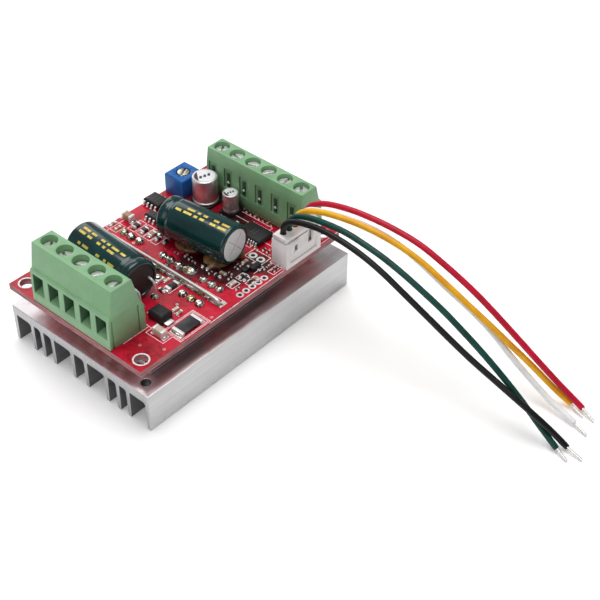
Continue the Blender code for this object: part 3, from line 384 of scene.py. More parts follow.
def insulation(name, light, dark):
    """Extruded PVC: glossy, with faint die lines, a little dust and uneven thickness."""
    finish = Finish(name, Specular_IOR_Level=0.32)
    dust = finish.noise(900, 3.0)
    swell = finish.noise(300, 2.0)
    finish.bump(swell * 0.7 + dust * 0.3, 0.05 * MM, 0.5)
    return finish.wear(
        Base_Color=finish.tones(swell, dark, light),
        Roughness=finish.spread(dust, 0.3, 0.7, 0.32, 0.48),
    )


tinned_copper = metal(
    "tinned_copper", (0.80, 0.79, 0.76), (0.66, 0.64, 0.60), 0.34, scale=900, relief=0.004 * MM, metallic=0.8
)

for colour, (light, dark) in WIRE_COLOURS.items():
    route = np.array(WIRE_ROUTES_MM[colour]) * MM
    sleeve = evenly_spaced(smooth_curve(route[:-1]), WIRE_STEP)
    radii = np.full(len(sleeve), WIRE_RADIUS)
    radii[-1] *= 0.9
    wire = piece(
        f"sensor_wire_{colour}",
        [(skin(round_path(sleeve, radii)), insulation(f"{colour}_pvc", light, dark))],
        "hall_lead",
    )
    tip_line = np.linspace(sleeve[-2], route[-1], 25)
    travelled = np.linalg.norm(tip_line - tip_line[0], axis=1)
    strands = [(skin(round_path(tip_line, STRAND_RADIUS, 8)), tinned_copper)]
    for k in range(6):
        angle = 2 * math.pi * (k / 6 + travelled / STRAND_TWIST)
        line = carried(tip_line, STRAND_ORBIT * np.cos(angle)[:, None], STRAND_ORBIT * np.sin(angle)[:, None])
        strands.append((skin(round_path(line[:, 0], STRAND_RADIUS, 8)), tinned_copper))
    tip = piece(f"sensor_tip_{colour}", strands, "hall_lead")
    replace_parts(wire, f"hall_wire_{colour}")


# --------------------------------------
# Heatsink: one aluminium extrusion with ten fins, sawn to length, its top skimmed bright and drilled
# for the transistors' screws. The walls keep the die's lengthwise lines, the ends the saw's marks.
# --------------------------------------
def refined(name, node, width, choose, body="driver", seat=None):
    """A copy of a CAD node's mesh: doubles merged, flat faces joined, edges rounded to a width. choose is
    a finish, or gives each face's finish from its middle and normal. A seat (from, to) lowers the foot."""
    bm = bmesh.new()
    bm.from_mesh(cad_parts[node].data)
    bmesh.ops.remove_doubles(bm, verts=bm.verts, dist=0.001 * MM)
    bmesh.ops.dissolve_limit(bm, angle_limit=math.radians(1), verts=bm.verts, edges=bm.edges)
    if seat:
        for vertex in bm.verts:
            if vertex.co.z < seat[0]:
                vertex.co.z = seat[1]
    if width:
        edges = [e for e in bm.edges if len(e.link_faces) == 2 and e.calc_face_angle(0) > math.radians(30)]
        bmesh.ops.bevel(bm, geom=edges, offset=width, segments=2, profile=0.5, affect="EDGES")
    finishes = []
    for face in bm.faces:
        finish = choose(face.calc_center_median(), face.normal) if callable(choose) else choose
        if finish not in finishes:
            finishes.append(finish)
        face.material_index = finishes.index(finish)
    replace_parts(placed(name, bm, finishes, body, SHARP_EDGE), node)


drawn_aluminium = metal("drawn_aluminium", (0.62, 0.62, 0.625), (0.50, 0.50, 0.505), 0.42, (0.03, 1, 1), 1500)
# The slight pink in the skimmed top's colour is a painted reflection of the red board above it.
skimmed_aluminium = metal(
    "skimmed_aluminium", (0.72, 0.69, 0.70), (0.60, 0.57, 0.58), 0.34, (0.05, 1, 1), 900, metallic=0.8
)
sawn_aluminium = metal(
    "sawn_aluminium", (0.56, 0.56, 0.57), (0.40, 0.40, 0.41), 0.45, (1, 1, 0.12), 2600, 0.02 * MM
)
sink_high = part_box("heatsink")[1]
# Faces inside the channels between the fins are painted near-black: painted shade between the fins.
shaded_aluminium = metal(
    "channel_shade_aluminium", (0.16, 0.16, 0.165), (0.10, 0.10, 0.105), 0.5, (0.03, 1, 1), 1500, metallic=0.8
)


def sink_finish(middle, normal):
    if abs(normal.x) > 0.8 and abs(middle.x) > sink_high.x - 0.2 * MM:
        return sawn_aluminium
    if normal.z > 0.8 and middle.z > sink_high.z - 0.2 * MM:
        return skimmed_aluminium
    outer_wall = abs(normal.y) > 0.8 and abs(middle.y) > sink_high.y - 0.3 * MM
    return drawn_aluminium if outer_wall or normal.z < -0.8 and middle.z < 0.5 * MM else shaded_aluminium


refined("heatsink_extrusion", "heatsink", 0.12 * MM, sink_finish)

# --------------------------------------
# Power stage under the board: six transistors flat on a grey thermal sheet, held by plated screws.
# --------------------------------------
board_low, board_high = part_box("circuit_board")
BOARD_TOP = board_high.z
BOARD_BOTTOM = board_low.z

silicone_sheet = moulded("silicone_sheet", (0.50, 0.52, 0.55), (0.40, 0.42, 0.45), 0.7, 0.03 * MM, 2500)
epoxy = moulded(
    "epoxy", (0.020, 0.019, 0.021), (0.009, 0.009, 0.010), 0.42, 0.02 * MM, 6000, Specular_IOR_Level=0.35
)
plated_steel = metal("plated_steel", (0.90, 0.90, 0.88), (0.66, 0.66, 0.64), 0.32, scale=1800, metallic=0.6)
nickel_brass = metal("nickel_brass", (0.76, 0.72, 0.62), (0.50, 0.45, 0.34), 0.32, scale=1500)
dull_tin = metal("dull_tin", (0.86, 0.85, 0.84), (0.68, 0.66, 0.65), 0.36, scale=2200, metallic=0.55)

refined("thermal_sheet", "insulating_pad", 0, silicone_sheet)
LEAD_ROWS_MM = (-3.1, -9.6)     # where the two rows of leads go up through the board
LEAD_REACH = 2.05 * MM          # from there to the moulded body's edge
TAB_REACH = 11.35 * MM          # and to the bare metal tab
for number in range(1, 7):
    node = f"mosfet_{number}"
    row_x = LEAD_ROWS_MM[number > 3] * MM

    def transistor_finish(middle, normal, row_x=row_x):
        reach = abs(middle.x - row_x)
        return dull_tin if reach > TAB_REACH or reach < LEAD_REACH else epoxy

    refined(f"transistor_{number}", node, 0.1 * MM, transistor_finish)
    refined(f"fixing_screw_{number}", f"mosfet_screw_{number}", 0.08 * MM, plated_steel)

# --------------------------------------
# Circuit board: 1.6 mm glass-epoxy laminate with a glossy red solder mask over etched copper, plated
# holes, tinned pads and white print. The mask is darker where no copper lies under it.
# --------------------------------------
MASK_RED = (0.50, 0.001, 0.022)
MASK_DARK = (0.24, 0.001, 0.008)
MASK_LIGHT = (0.60, 0.004, 0.035)
SHADE_AND_ROSIN = (0.020, 0.002, 0.004)      # painted shade round the capacitors and crowded parts, with some rosin left round the hand-soldered joints

mask = Finish("red_solder_mask", Coat_Weight=0.15, Coat_Roughness=0.15, Specular_IOR_Level=0.3)
pour = mask.noise(95, 1.0)
pour_area = mask.spread(pour, 0.485, 0.495)
gap_lines = mask.cells(260)
tracks = mask.spread(gap_lines, 0.03, 0.045)
mottle = mask.noise(700, 3.0)
copper = pour_area * 0.65 + tracks * 0.35
mask.bump(copper * 0.8 + mottle * 0.2, 0.03 * MM, 0.6)
red = mask.mix(
    mask.spread(mottle, 0.35, 0.7), mask.mix(copper, MASK_DARK, MASK_RED),
    mask.mix(copper, MASK_RED, MASK_LIGHT)
)
# Patches of painted shade, with some rosin, round the capacitors and crowded parts: middle (x, y) and reach
# in millimetres
SHADE_AND_ROSIN_MM = ((-0.3, -4.5, 7.0), (3.2, -12.6, 6.5), (9.0, -14.8, 5.0), (17.5, 1.5, 6.5), (-6.8, 1.0, 3.0))
for x, y, reach in SHADE_AND_ROSIN_MM:
    centre = {0: mask.place(), 1: (x * MM, y * MM, board_high.z)}
    away = mask.add("ShaderNodeVectorMath", {"operation": "DISTANCE"}, centre, 1)
    shade_and_rosin = mask.spread(
        away + mottle * (4 * MM), 0.55 * reach * MM + 2 * MM, reach * MM + 2 * MM, 0.96, 0.0
    )
    red = mask.mix(shade_and_rosin, red, SHADE_AND_ROSIN)
mask.wear(
    Base_Color=red,
    Roughness=mask.spread(mottle, 0.3, 0.7, 0.3, 0.46),
)
laminate = Finish("laminate_edge", Roughness=0.7)
fibres = laminate.noise(1500, 3.0, (0.2, 0.2, 3.0))
laminate.bump(fibres, 0.05 * MM, 0.6)
laminate.wear(Base_Color=laminate.tones(fibres, (0.22, 0.06, 0.07), (0.46, 0.22, 0.22), 0.3, 0.7))
plating = metal("hole_plating", (0.80, 0.78, 0.72), (0.60, 0.56, 0.48), 0.3, scale=2500)
LEAD_FIELD = 12 * MM            # the plated lead holes lie within this distance of the middle


def board_finish(middle, normal):
    if abs(normal.z) > 0.5:
        return mask
    inside = board_low.y + 0.3 * MM < middle.y < board_high.y - 0.3 * MM
    return plating if inside and abs(middle.x) < LEAD_FIELD else laminate


refined("board", "circuit_board", 0, board_finish)

COPPER_RISE = 0.035 * MM
PRINT_RISE = 0.05 * MM
PAD_RISE = 0.06 * MM
LINE = 0.15 * MM


def strip(points, width, low, high):
    """Flat strip of a width along a level path of (x, y) points, with mitred corners: each corner is
    pushed out along the sum of its two sides' normals."""
    points = np.array(points, float)
    way = np.diff(points, axis=0)
    way /= np.linalg.norm(way, axis=1)[:, None]
    normals = np.stack([-way[:, 1], way[:, 0]], 1)
    before = np.vstack([normals[:1], normals])
    after = np.vstack([normals, normals[-1:]])
    mitre = (before + after) / (1 + (before * after).sum(1))[:, None]
    left, right = points + mitre * width / 2, points - mitre * width / 2
    rings = [np.column_stack([side, np.full(len(side), z)]) for side, z in
             ((left, low), (right, low), (right, high), (left, high))]
    return skin(np.stack(rings, axis=1))


def frame_of(low, high, width, base, top):
    """Four strips round a rectangle."""
    (x0, y0), (x1, y1) = low, high
    middle = (x0 + x1) / 2
    outline = [(middle, y0), (x1, y0), (x1, y1), (x0, y1), (x0, y0), (middle, y0)]
    return strip(outline, width, base, top)


def disc_ring(middle, inner, outer, low, high, sides=28):
    """Flat ring: its rectangular section carried round a circle."""
    angle = np.linspace(0, 2 * math.pi, sides, endpoint=False)
    section = ((inner, low), (outer, low), (outer, high), (inner, high))
    return skin(np.stack([
        np.stack([middle[0] + r * np.cos(angle), middle[1] + r * np.sin(angle), np.full(sides, z)], -1)
        for r, z in section + section[:1]
    ]), caps=False)


def turned(profile, middle, sides=32):
    """Surface of revolution about a vertical line from (radius, height) pairs, capped at both ends."""
    angle = np.linspace(0, 2 * math.pi, sides, endpoint=False)
    profile = np.array(profile, float)
    rings = np.stack([
        middle[0] + profile[:, :1] * np.cos(angle), middle[1] + profile[:, :1] * np.sin(angle),
        np.broadcast_to(profile[:, 1:], (len(profile), sides)),
    ], -1)
    return skin(rings)


def slab(middle, size, base, height, edge=0.06 * MM, turn=0.0):
    """Block with rounded corners and top edge: a rounded rectangle carried up through heights, drawn in
    near the top. Corner points follow a circle of the edge's radius."""
    corner = np.linspace(0, math.pi / 2, 4)
    levels = ((0.0, 0.0), (0.0, height - edge), (edge * 0.3, height - edge * 0.3), (edge, height))
    rings = []
    for inset, rise in levels:
        half = np.array(size) / 2 - inset
        outline = []
        for k, (sx, sy) in enumerate(((1, 1), (-1, 1), (-1, -1), (1, -1))):
            angle = corner + k * math.pi / 2
            x = sx * (half[0] - edge) + edge * np.cos(angle)
            y = sy * (half[1] - edge) + edge * np.sin(angle)
            outline.append(np.stack([x, y], 1))
        outline = np.vstack(outline)
        c, s = math.cos(turn), math.sin(turn)
        x = middle[0] + outline[:, 0] * c - outline[:, 1] * s
        y = middle[1] + outline[:, 0] * s + outline[:, 1] * c
        rings.append(np.column_stack([x, y, np.full(len(x), base + rise)]))
    return skin(np.stack(rings))


def mm(*values):
    """Millimetres to metres."""
    return tuple(v * MM for v in values)


def middle_of(node):
    """The middle of a CAD node's box, seen from above."""
    low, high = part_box(node)
    return (low.x + high.x) / 2, (low.y + high.y) / 2


def printed(outline, finish=None, rise=PRINT_RISE, width=LINE):
    """A flat line of ink or copper on the board, from (x, y) points in millimetres."""
    return strip([mm(*point) for point in outline], width, BOARD_TOP, BOARD_TOP + rise), finish or print_white


print_white = Finish("white_print", Roughness=0.6)
ink = print_white.noise(2600, 3.0)
print_white.wear(Base_Color=print_white.tones(ink, (0.62, 0.30, 0.33), (0.86, 0.82, 0.82), 0.36, 0.5))
solder = Finish("solder", Metallic=1.0)
flux = solder.noise(420, 3.0)
ripple = solder.noise(1100, 3.0)
solder.bump(ripple, 0.06 * MM, 0.5)
solder.wear(
    Base_Color=solder.mix(
        solder.spread(ripple, 0.52, 0.60),
        solder.tones(flux, (0.72, 0.72, 0.69), (0.46, 0.42, 0.20), 0.5, 0.64),
        (0.12, 0.09, 0.07),
    ),
    Roughness=solder.spread(ripple, 0.3, 0.7, 0.12, 0.3),
)
# Near-black for the painted shade inside holes; the trimmer's dial marks use it too as ink.
hole_shade_and_ink = Finish("hole_shadow_and_ink", Roughness=0.8)
hole_shade_and_ink.wear(Base_Color=hole_shade_and_ink.mix(hole_shade_and_ink.noise(1500, 2.0), (0.01, 0.008, 0.008), (0.03, 0.02, 0.02)))

print_parts = []
PRINT_FRAMES_MM = (
    ((-20.6, -20.2), (-12.3, -15.5)), ((-20.95, -20.55), (-11.95, -15.15)), ((-23.8, -18.1), (-20.9, -12.8)),
    ((-11.4, -7.2), (-7.4, -5.0)), ((9.7, -15.6), (13.0, -10.4)), ((-1.3, 15.2), (2.9, 17.4)),
    ((-1.3, 12.5), (2.9, 14.7)), ((-1.3, 10.0), (2.9, 12.2)), ((-1.3, 7.7), (2.9, 9.7)),
    ((19.6, -8.2), (21.7, 2.4)), ((-0.9, -16.6), (1.6, -14.6)), ((2.4, -16.1), (5.0, -14.4)),
    ((2.4, -18.9), (5.9, -17.4)), ((8.9, -20.1), (12.9, -18.3)), ((-4.3, 18.2), (-1.3, 21.7)),
    ((12.6, -9.2), (14.4, -7.2)),
)
for low, high in PRINT_FRAMES_MM:
    print_parts.append((frame_of(mm(*low), mm(*high), LINE, BOARD_TOP, BOARD_TOP + PRINT_RISE), print_white))
PRINT_LINES_MM = (
    ((-22.0, -13.5), (-22.0, 14.6), (-24.0, 14.6)), ((-15.4, -10.0), (-15.4, -14.4)),
    ((-5.2, 18.6), (-5.2, -18.6)), ((-6.3, 20.4), (3.2, 20.4)), ((13.1, -10.2), (16.4, -10.2), (16.4, -15.4)),
    ((6.2, -16.5), (9.4, -16.5), (9.4, -13.5)), ((-12.6, -21.0), (31.0, -21.0 + 0.35)),
    ((22.0, -10.9), (22.0, -15.0)), ((13.0, 20.8), (13.0, 17.4)), ((-2.9, 3.3), (-2.9, 4.6)),
    ((14.3, -16.3), (11.9, -16.3), (11.9, -20.6)), ((-22.0, -11.9), (-29.5, -11.9)),
)
for line in PRINT_LINES_MM:
    print_parts.append(printed(line))
piece("white_print", print_parts, sharp=20)

# Etched tracks that show as low ridges under the mask, with 45-degree corners
TRACK_LINES_MM = (
    ((-12.0, -20.4), (-3.0, -20.4), (-1.6, -19.3)), ((-8.5, -19.6), (-4.4, -19.6), (-3.6, -20.4)),
    ((3.0, -12.0), (3.0, -13.4), (1.4, -15.0)), ((4.4, -10.6), (4.4, -13.8), (6.0, -15.4)),
    ((7.7, -19.3), (7.7, -17.4), (9.0, -16.1)), ((5.7, -19.3), (5.7, -18.4), (7.4, -16.7)),
    ((12.6, -12.6), (14.4, -12.6), (16.0, -14.2)), ((-5.8, 5.0), (-4.4, 3.6), (-4.4, -8.0)),
    ((-5.9, 12.0), (-4.7, 10.8), (-4.7, 6.8)),
    ((-12.2, -8.6), (-12.2, -14.6), (-10.8, -16.0), (-10.8, -19.2)),
    ((-13.4, -14.4), (-13.4, -10.4), (-12.4, -9.4)), ((1.8, -19.9), (3.4, -20.4), (12.4, -20.4)),
    ((-20.2, -8.6), (-17.0, -8.6), (-15.8, -9.8)), ((22.9, -11.0), (23.9, -12.0), (23.9, -16.2)),
    ((10.9, 13.4), (13.4, 13.4), (14.8, 14.8)), ((10.9, 12.6), (13.8, 12.6), (15.3, 14.1)),
)
TRACK_WIDTH = 0.3 * MM
track_parts = [printed(line, mask, COPPER_RISE, TRACK_WIDTH) for line in TRACK_LINES_MM]
piece("masked_tracks", track_parts, sharp=20)

# Tinned pads: five plated holes for an unused header, two test holes, rings at the corner holes
THIN = 0.02 * MM                # height of the thinnest printed or dark shapes
# Each plated pad's middle (x, y), the radius of its hole and its own, in millimetres
PADS_MM = [(-1.3 + 2.0 * k, -19.3, 0.48, 0.88) for k in range(5)]
PADS_MM += [(11.0, y, 0.52, 1.05) for y in (-11.8, -14.2)]
CORNER_HOLES_MM = [(x, y) for x in (-30.25, 28.25) for y in (-18.25, 19.25)]
pad_parts = []
for x, y, inner, outer in PADS_MM:
    pad_parts.append((disc_ring(mm(x, y), *mm(inner, outer), BOARD_TOP, BOARD_TOP + PAD_RISE), dull_tin))
    # A dark disc over the hole: painted shade inside it.
    hole = [(inner * MM, BOARD_TOP + rise) for rise in (0, THIN)]
    pad_parts.append((turned(hole, mm(x, y), 20), hole_shade_and_ink))
for spot in CORNER_HOLES_MM:
    pad_parts.append((disc_ring(mm(*spot), *mm(1.56, 1.95), BOARD_TOP, BOARD_TOP + THIN, 40), print_white))
VIAS_MM = (
    (-10.9, -19.9), (-12.9, -11.2), (-5.6, -13.6), (-5.1, -9.4), (-4.0, -2.2), (-4.8, 0.6), (-11.6, 7.2),
    (-4.2, 12.2), (2.2, -9.6), (3.6, -8.9), (6.9, -10.7), (8.4, -9.9), (-0.8, 4.9), (0.4, 4.2), (-0.2, 2.4),
    (0.9, 1.1), (7.4, -13.6), (13.6, -14.6), (15.2, -13.3), (-19.9, -14.0), (-14.0, -16.9), (24.5, -17.3),
    (26.4, -19.6), (12.9, 15.9), (12.2, 14.6), (-24.9, -19.6), (-27.4, -14.8), (-10.4, 20.6), (-14.7, 20.3),
    (-20.9, 19.2), (16.4, 6.8), (15.6, 4.6), (16.8, 1.5),
)
for x, y in VIAS_MM:
    pad_parts.append((
        disc_ring(mm(x, y), 0.16 * MM, 0.34 * MM, BOARD_TOP, BOARD_TOP + 0.04 * MM, 16), plating
    ))
piece("pads_and_vias", pad_parts, sharp=20)

# --------------------------------------
# Solder joints: a shiny cone of solder round each transistor lead, a large blob where thick copper is
# reinforced, and a bead along the tinned bus bar that carries the supply current.
# --------------------------------------
seeded = np.random.default_rng(7)
joint_parts = []
for lead_x in LEAD_ROWS_MM:
    for row_y in (14.0, 0.9, -12.2):
        for step in (-2.6, 0.0, 2.6):
            spot = mm(lead_x, row_y + step)
            foot = (1.12 + 0.1 * seeded.random()) * MM
            rise = (0.92 + 0.18 * seeded.random()) * MM
            share = np.linspace(0, 1, 10)
            radius = foot * (1 - share ** 1.5 * 0.72)
            height = BOARD_TOP + rise * np.sin(share * math.pi / 2) ** 0.9
            lean = mm(0.12 * (seeded.random() - 0.5), 0.2 * (seeded.random() - 0.5))
            joint_parts.append((
                turned(np.column_stack([radius, height]), (spot[0] + lean[0], spot[1] + lean[1]), 24), solder
            ))


def blob(middle, half_sizes, base, height, sides=28, rings=9):
    """Low dome on an oval foot: the radius falls as the cosine of the height's angle."""
    angle = np.linspace(0, 2 * math.pi, sides, endpoint=False)
    rise = np.linspace(0, math.pi / 2 * 0.97, rings)[:, None]
    x = middle[0] + half_sizes[0] * np.cos(rise) * np.cos(angle)
    y = middle[1] + half_sizes[1] * np.cos(rise) * np.sin(angle)
    z = base + height * np.sin(rise) + 0 * angle
    return skin(np.stack([x, y, z], -1))


# Middle (x, y), half sizes and height of each large blob in millimetres
BLOBS_MM = (
    (-2.6, -4.9, 1.7, 2.0, 1.2), (-14.4, -5.7, 1.1, 1.1, 0.9), (-18.9, -5.9, 1.1, 1.1, 0.9),
    (1.9, 9.9, 1.0, 1.0, 0.8)
)
for x, y, half_x, half_y, height in BLOBS_MM:
    joint_parts.append((blob(mm(x, y), mm(half_x, half_y), BOARD_TOP, height * MM), solder))
BAR_X = -6.9 * MM
BEAD_START, BEAD_LENGTH = mm(-18.9, 38.8)
BEAD_HALF_WIDTH, BEAD_HEIGHT = mm(0.62, 0.35)
share = np.linspace(0, 1, 60)
wobble = 0.08 * MM * np.sin(share * 37) + 0.06 * MM * np.sin(share * 83 + 1)
bead_line = np.column_stack([
    BAR_X + 0.05 * MM + wobble * 0.5, BEAD_START + share * BEAD_LENGTH, np.full(60, BOARD_TOP + 0.1 * MM),
])
angles = np.linspace(0, 2 * math.pi, 14, endpoint=False)
bead_across = (BEAD_HALF_WIDTH + wobble)[:, None] * np.cos(angles)
bead_up = (BEAD_HEIGHT + wobble * 0.5)[:, None] * np.sin(angles)
joint_parts.append((skin(carried(bead_line, bead_across, bead_up)), solder))
joint_parts.append((slab(mm(-6.3, -18.5), mm(2.2, 1.3), BOARD_TOP, 0.12 * MM), dull_tin))
piece("solder_joints", joint_parts, sharp=60)
bus_low, bus_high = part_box("bus_bar")
# The wire's bend at one end, as (distance in from the end, height); the other end mirrors it
BUS_BEND = (
    (0.0, BOARD_TOP + 0.5 * MM), (0.4 * MM, bus_high.z - 0.62 * MM), (1.4 * MM, bus_high.z - 0.43 * MM)
)
bus_line = [(BAR_X, bus_low.y + inward, z) for inward, z in BUS_BEND]
bus_line += [(BAR_X, bus_high.y - inward, z) for inward, z in BUS_BEND[::-1]]
bus_path = round_path(evenly_spaced(smooth_curve(bus_line), 0.5 * MM), 0.42 * MM)
bus = piece("tinned_bus_wire", [(skin(bus_path), tinned_copper)])
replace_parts(bus, "bus_bar")

# --------------------------------------
# Screw terminals: moulded in green polyamide, a slotted plated screw and a nickelled cage in each
# pole. The screw pulls the cage up and clamps the wire; tinned pins go through the board.
# --------------------------------------
TERMINAL_SEAT = (BOARD_TOP + 0.4 * MM, BOARD_TOP)
TERMINAL_PIN_MM = ((0.5, -2.6), (0.5, -0.9), (0.62, -0.5), (1.15, 0.0))


def soldered_pin(profile, spot, sides):
    """A pin's end and its solder under the board: (radius, height) from the underside in millimetres."""
    return turned(
        [(radius * MM, BOARD_BOTTOM + height * MM) for radius, height in profile], spot, sides
    ), solder


terminal_green = moulded("terminal_green", (0.235, 0.445, 0.235), (0.185, 0.37, 0.19), 0.42, 0.03 * MM, 3500)
housing_shade_green = moulded("shaded_green", (0.09, 0.20, 0.10), (0.05, 0.13, 0.06), 0.6, 0.03 * MM, 3500)

for terminal, poles in (("power_terminal", 5), ("control_terminal", 6)):
    low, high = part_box(f"{terminal}_housing")

    # Faces inside the housing's cavities below the screw wells take a darker green: painted shade.
    def housing_finish(middle, normal, low=low, high=high):
        between_ends = low.y + 0.5 * MM < middle.y < high.y - 0.5 * MM
        deep = low.x + 2.6 * MM < middle.x < high.x - 2.6 * MM and middle.z < high.z - 1.2 * MM
        in_well = middle.z > high.z - 3.2 * MM
        shaded = between_ends and not in_well and (deep or abs(normal.y) > 0.9)
        return housing_shade_green if shaded else terminal_green

    refined(
        f"{terminal}_body", f"{terminal}_housing", 0.1 * MM, housing_finish,
        seat=TERMINAL_SEAT
    )
    pins = []
    for number in range(1, poles + 1):
        screw, clamp = f"{terminal}_screw_{number}", f"{terminal}_clamp_{number}"
        refined(f"{screw}_steel", screw, 0.07 * MM, plated_steel, body=screw)
        refined(f"{clamp}_cage", clamp, 0.06 * MM, nickel_brass, body=clamp)
        pins.append(soldered_pin(TERMINAL_PIN_MM, middle_of(screw), 16))
    piece(f"{terminal}_pins", pins)

# Near-black green for the slits in the rear pockets: painted shade inside them.
pocket_shade = moulded("pocket_shade_green", (0.035, 0.075, 0.04), (0.015, 0.035, 0.018), 0.6, 0.03 * MM, 3500)

# The far terminal's rear pockets each show a pin's bright end over a small ledge, and a dark slit of painted
# shade
POCKET_SHIFT = 0.4 * MM         # the pockets stand off the screws' middles
PIN_RISE, LEDGE_RISE, SLIT_RISE = mm(5.6, 3.6, 4.4)     # above the board
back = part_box("control_terminal_housing")[0].x + 0.12 * MM
rear_parts = []
for number in range(1, 7):
    y = middle_of(f"control_terminal_screw_{number}")[1] + POCKET_SHIFT
    slit = slab((back + 0.15 * MM, y), mm(0.3, 0.9), BOARD_TOP + SLIT_RISE, 3.8 * MM, 0.05 * MM)
    pin_end = blob((back + 0.02 * MM, y), mm(0.25, 0.42), BOARD_TOP + PIN_RISE, 0.5 * MM, 16, 6)
    ledge = slab((back - 0.02 * MM, y), mm(0.4, 1.7), BOARD_TOP + LEDGE_RISE, 0.35 * MM)
    rear_parts += [(slit, pocket_shade), (pin_end, dull_tin), (ledge, terminal_green)]
piece("rear_pocket_details", rear_parts)

# --------------------------------------
# Sensor header and plug: white polyamide, a shrouded five-way header soldered at the board's edge,
# and the plug whose flange covers it. The wires come out of five round holes in the plug's top.
# --------------------------------------
white_nylon = moulded("white_nylon", (0.82, 0.80, 0.79), (0.72, 0.68, 0.68), 0.4, 0.02 * MM, 3000)
plug_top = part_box("hall_plug")[1].z
header_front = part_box("hall_header")[0].y
header_y = middle_of("hall_header")[1]


refined("header_shell", "hall_header", 0.12 * MM, white_nylon, seat=TERMINAL_SEAT)
refined("plug_shell", "hall_plug", 0.12 * MM, white_nylon, "hall_lead")
plug_parts = []
wire_xs = [WIRE_ROUTES_MM[colour][0][0] * MM for colour in WIRE_COLOURS]
WIRE_EXIT_Y, WIRE_HOLE_RADIUS = mm(-18.4, 0.78)
for x in wire_xs:
    # A dark disc round each wire: painted shade in the gap of its hole.
    hole = [(WIRE_HOLE_RADIUS, plug_top + rise) for rise in (0, THIN)]
    plug_parts.append((turned(hole, (x, WIRE_EXIT_Y), 24), hole_shade_and_ink))
for x in (wire_xs[0] - 1.55 * MM, wire_xs[-1] + 1.4 * MM):
    plug_parts.append((slab((x, header_y), mm(0.9, 3.4), plug_top, 0.3 * MM, 0.12 * MM), white_nylon))
piece("plug_details", plug_parts, "hall_lead")
# The shroud's raised front: each bar's span along x, and its span above the board, in millimetres
FRONT_BARS_MM = (
    (12.15, 13.5, 0.0, 6.75), (22.5, 24.0, 0.0, 6.75), (13.5, 22.5, 0.0, 1.2), (13.5, 14.9, 4.1, 6.75),
    (21.3, 22.5, 4.1, 6.75), (14.9, 16.0, 5.6, 6.75),
)
header_parts = []
for x0, x1, z0, z1 in FRONT_BARS_MM:
    spot = ((x0 + x1) / 2 * MM, header_front - 0.05 * MM)
    bar = slab(spot, mm(x1 - x0, 0.5), BOARD_TOP + z0 * MM, (z1 - z0) * MM, 0.08 * MM)
    header_parts.append((bar, white_nylon))
piece("header_front_frame", header_parts)
header_pins = []
for x in wire_xs:
    header_pins.append(soldered_pin(((0.25, -1.9), (0.32, -0.8), (0.8, 0.0)), (x, header_y), 14))
piece("header_pins", header_pins)

# --------------------------------------
# Bulk capacitors: aluminium cans of 10 mm in teal shrink sleeve with gold print, laid on the board in
# amber glue. The sleeve shrinks into the rolled bead and over the rim; the closed end is scored.
# --------------------------------------
sleeve_teal = Finish("teal_sleeve", Coat_Weight=0.35, Coat_Roughness=0.12, Specular_IOR_Level=0.4)
streaks = sleeve_teal.noise(260, 2.0, (1, 0.35, 1))
specks = sleeve_teal.noise(1200, 2.0)
sleeve_teal.bump(streaks, 0.04 * MM, 0.3)
sleeve_teal.wear(
    Base_Color=sleeve_teal.tones(streaks, (0.0, 0.018, 0.020), (0.001, 0.042, 0.043), 0.3, 0.7),
    Roughness=sleeve_teal.spread(specks, 0.3, 0.7, 0.16, 0.26),
)
gold_print = Finish("gold_print", Roughness=0.4)
leaf = gold_print.noise(1800, 3.0)
gold_print.wear(
    Base_Color=gold_print.tones(leaf, (0.52, 0.39, 0.06), (0.80, 0.62, 0.12)),
    Metallic=gold_print.spread(leaf, 0.3, 0.7, 0.15, 0.4),
)
scored_end = metal("scored_end", (0.84, 0.86, 0.87), (0.74, 0.76, 0.77), 0.55, scale=900, metallic=0.0)
score_shade = metal("score_line_shade", (0.45, 0.44, 0.44), (0.30, 0.29, 0.29), 0.5, scale=1500)
bung_rubber = moulded("bung_rubber", (0.016, 0.017, 0.018), (0.008, 0.008, 0.009), 0.5, 0.05 * MM, 1500)
amber_glue = Finish("amber_glue", Coat_Weight=0.4)
drips = amber_glue.noise(300, 3.0)
amber_glue.bump(drips, 0.15 * MM, 0.7)
amber_glue.wear(
    Base_Color=amber_glue.tones(drips, (0.10, 0.03, 0.006), (0.36, 0.17, 0.03)),
    Roughness=amber_glue.spread(drips, 0.3, 0.7, 0.22, 0.4),
)
CAPACITOR_RADIUS = 5.0 * MM
UP = np.array((0, 0, 1.0))
PRINT_LIFT = 0.02 * MM


def lying(start, stop):
    """A lying cylinder's frame: its start, its axis, the level direction square to it, and its length."""
    start, stop = np.array((*start, 0.0)), np.array((*stop, 0.0))
    length = float(np.linalg.norm(stop - start))
    axis = (stop - start) / length
    level = np.cross(axis, UP)
    start[2] = BOARD_TOP + 0.25 * MM + CAPACITOR_RADIUS
    return start, axis, level, length


def lying_turned(place, profile, sides=72):
    """Surface of revolution about a lying axis, from (distance along, radius) pairs."""
    start, axis, level, length = place
    profile = np.array(profile, float)
    angle = np.linspace(0, 2 * math.pi, sides, endpoint=False)
    round_it = level * np.cos(angle)[:, None] + UP * np.sin(angle)[:, None]
    return skin(start + profile[:, :1, None] * axis + profile[:, 1:, None] * round_it)


def lying_patch(place, along, angles, radius, thick=0.02 * MM, count=6):
    """Patch of print on a lying cylinder between two distances along it and two angles round it."""
    start, axis, level, length = place
    angle = np.linspace(*np.radians(angles), count)
    rings = []
    for distance, r in (
        (along[0], radius), (along[1], radius), (along[1], radius + thick), (along[0], radius + thick)
    ):
        rings.append(
            start + distance * axis + r * (level * np.cos(angle)[:, None] + UP * np.sin(angle)[:, None])
        )
    return skin(np.stack(rings, axis=1))


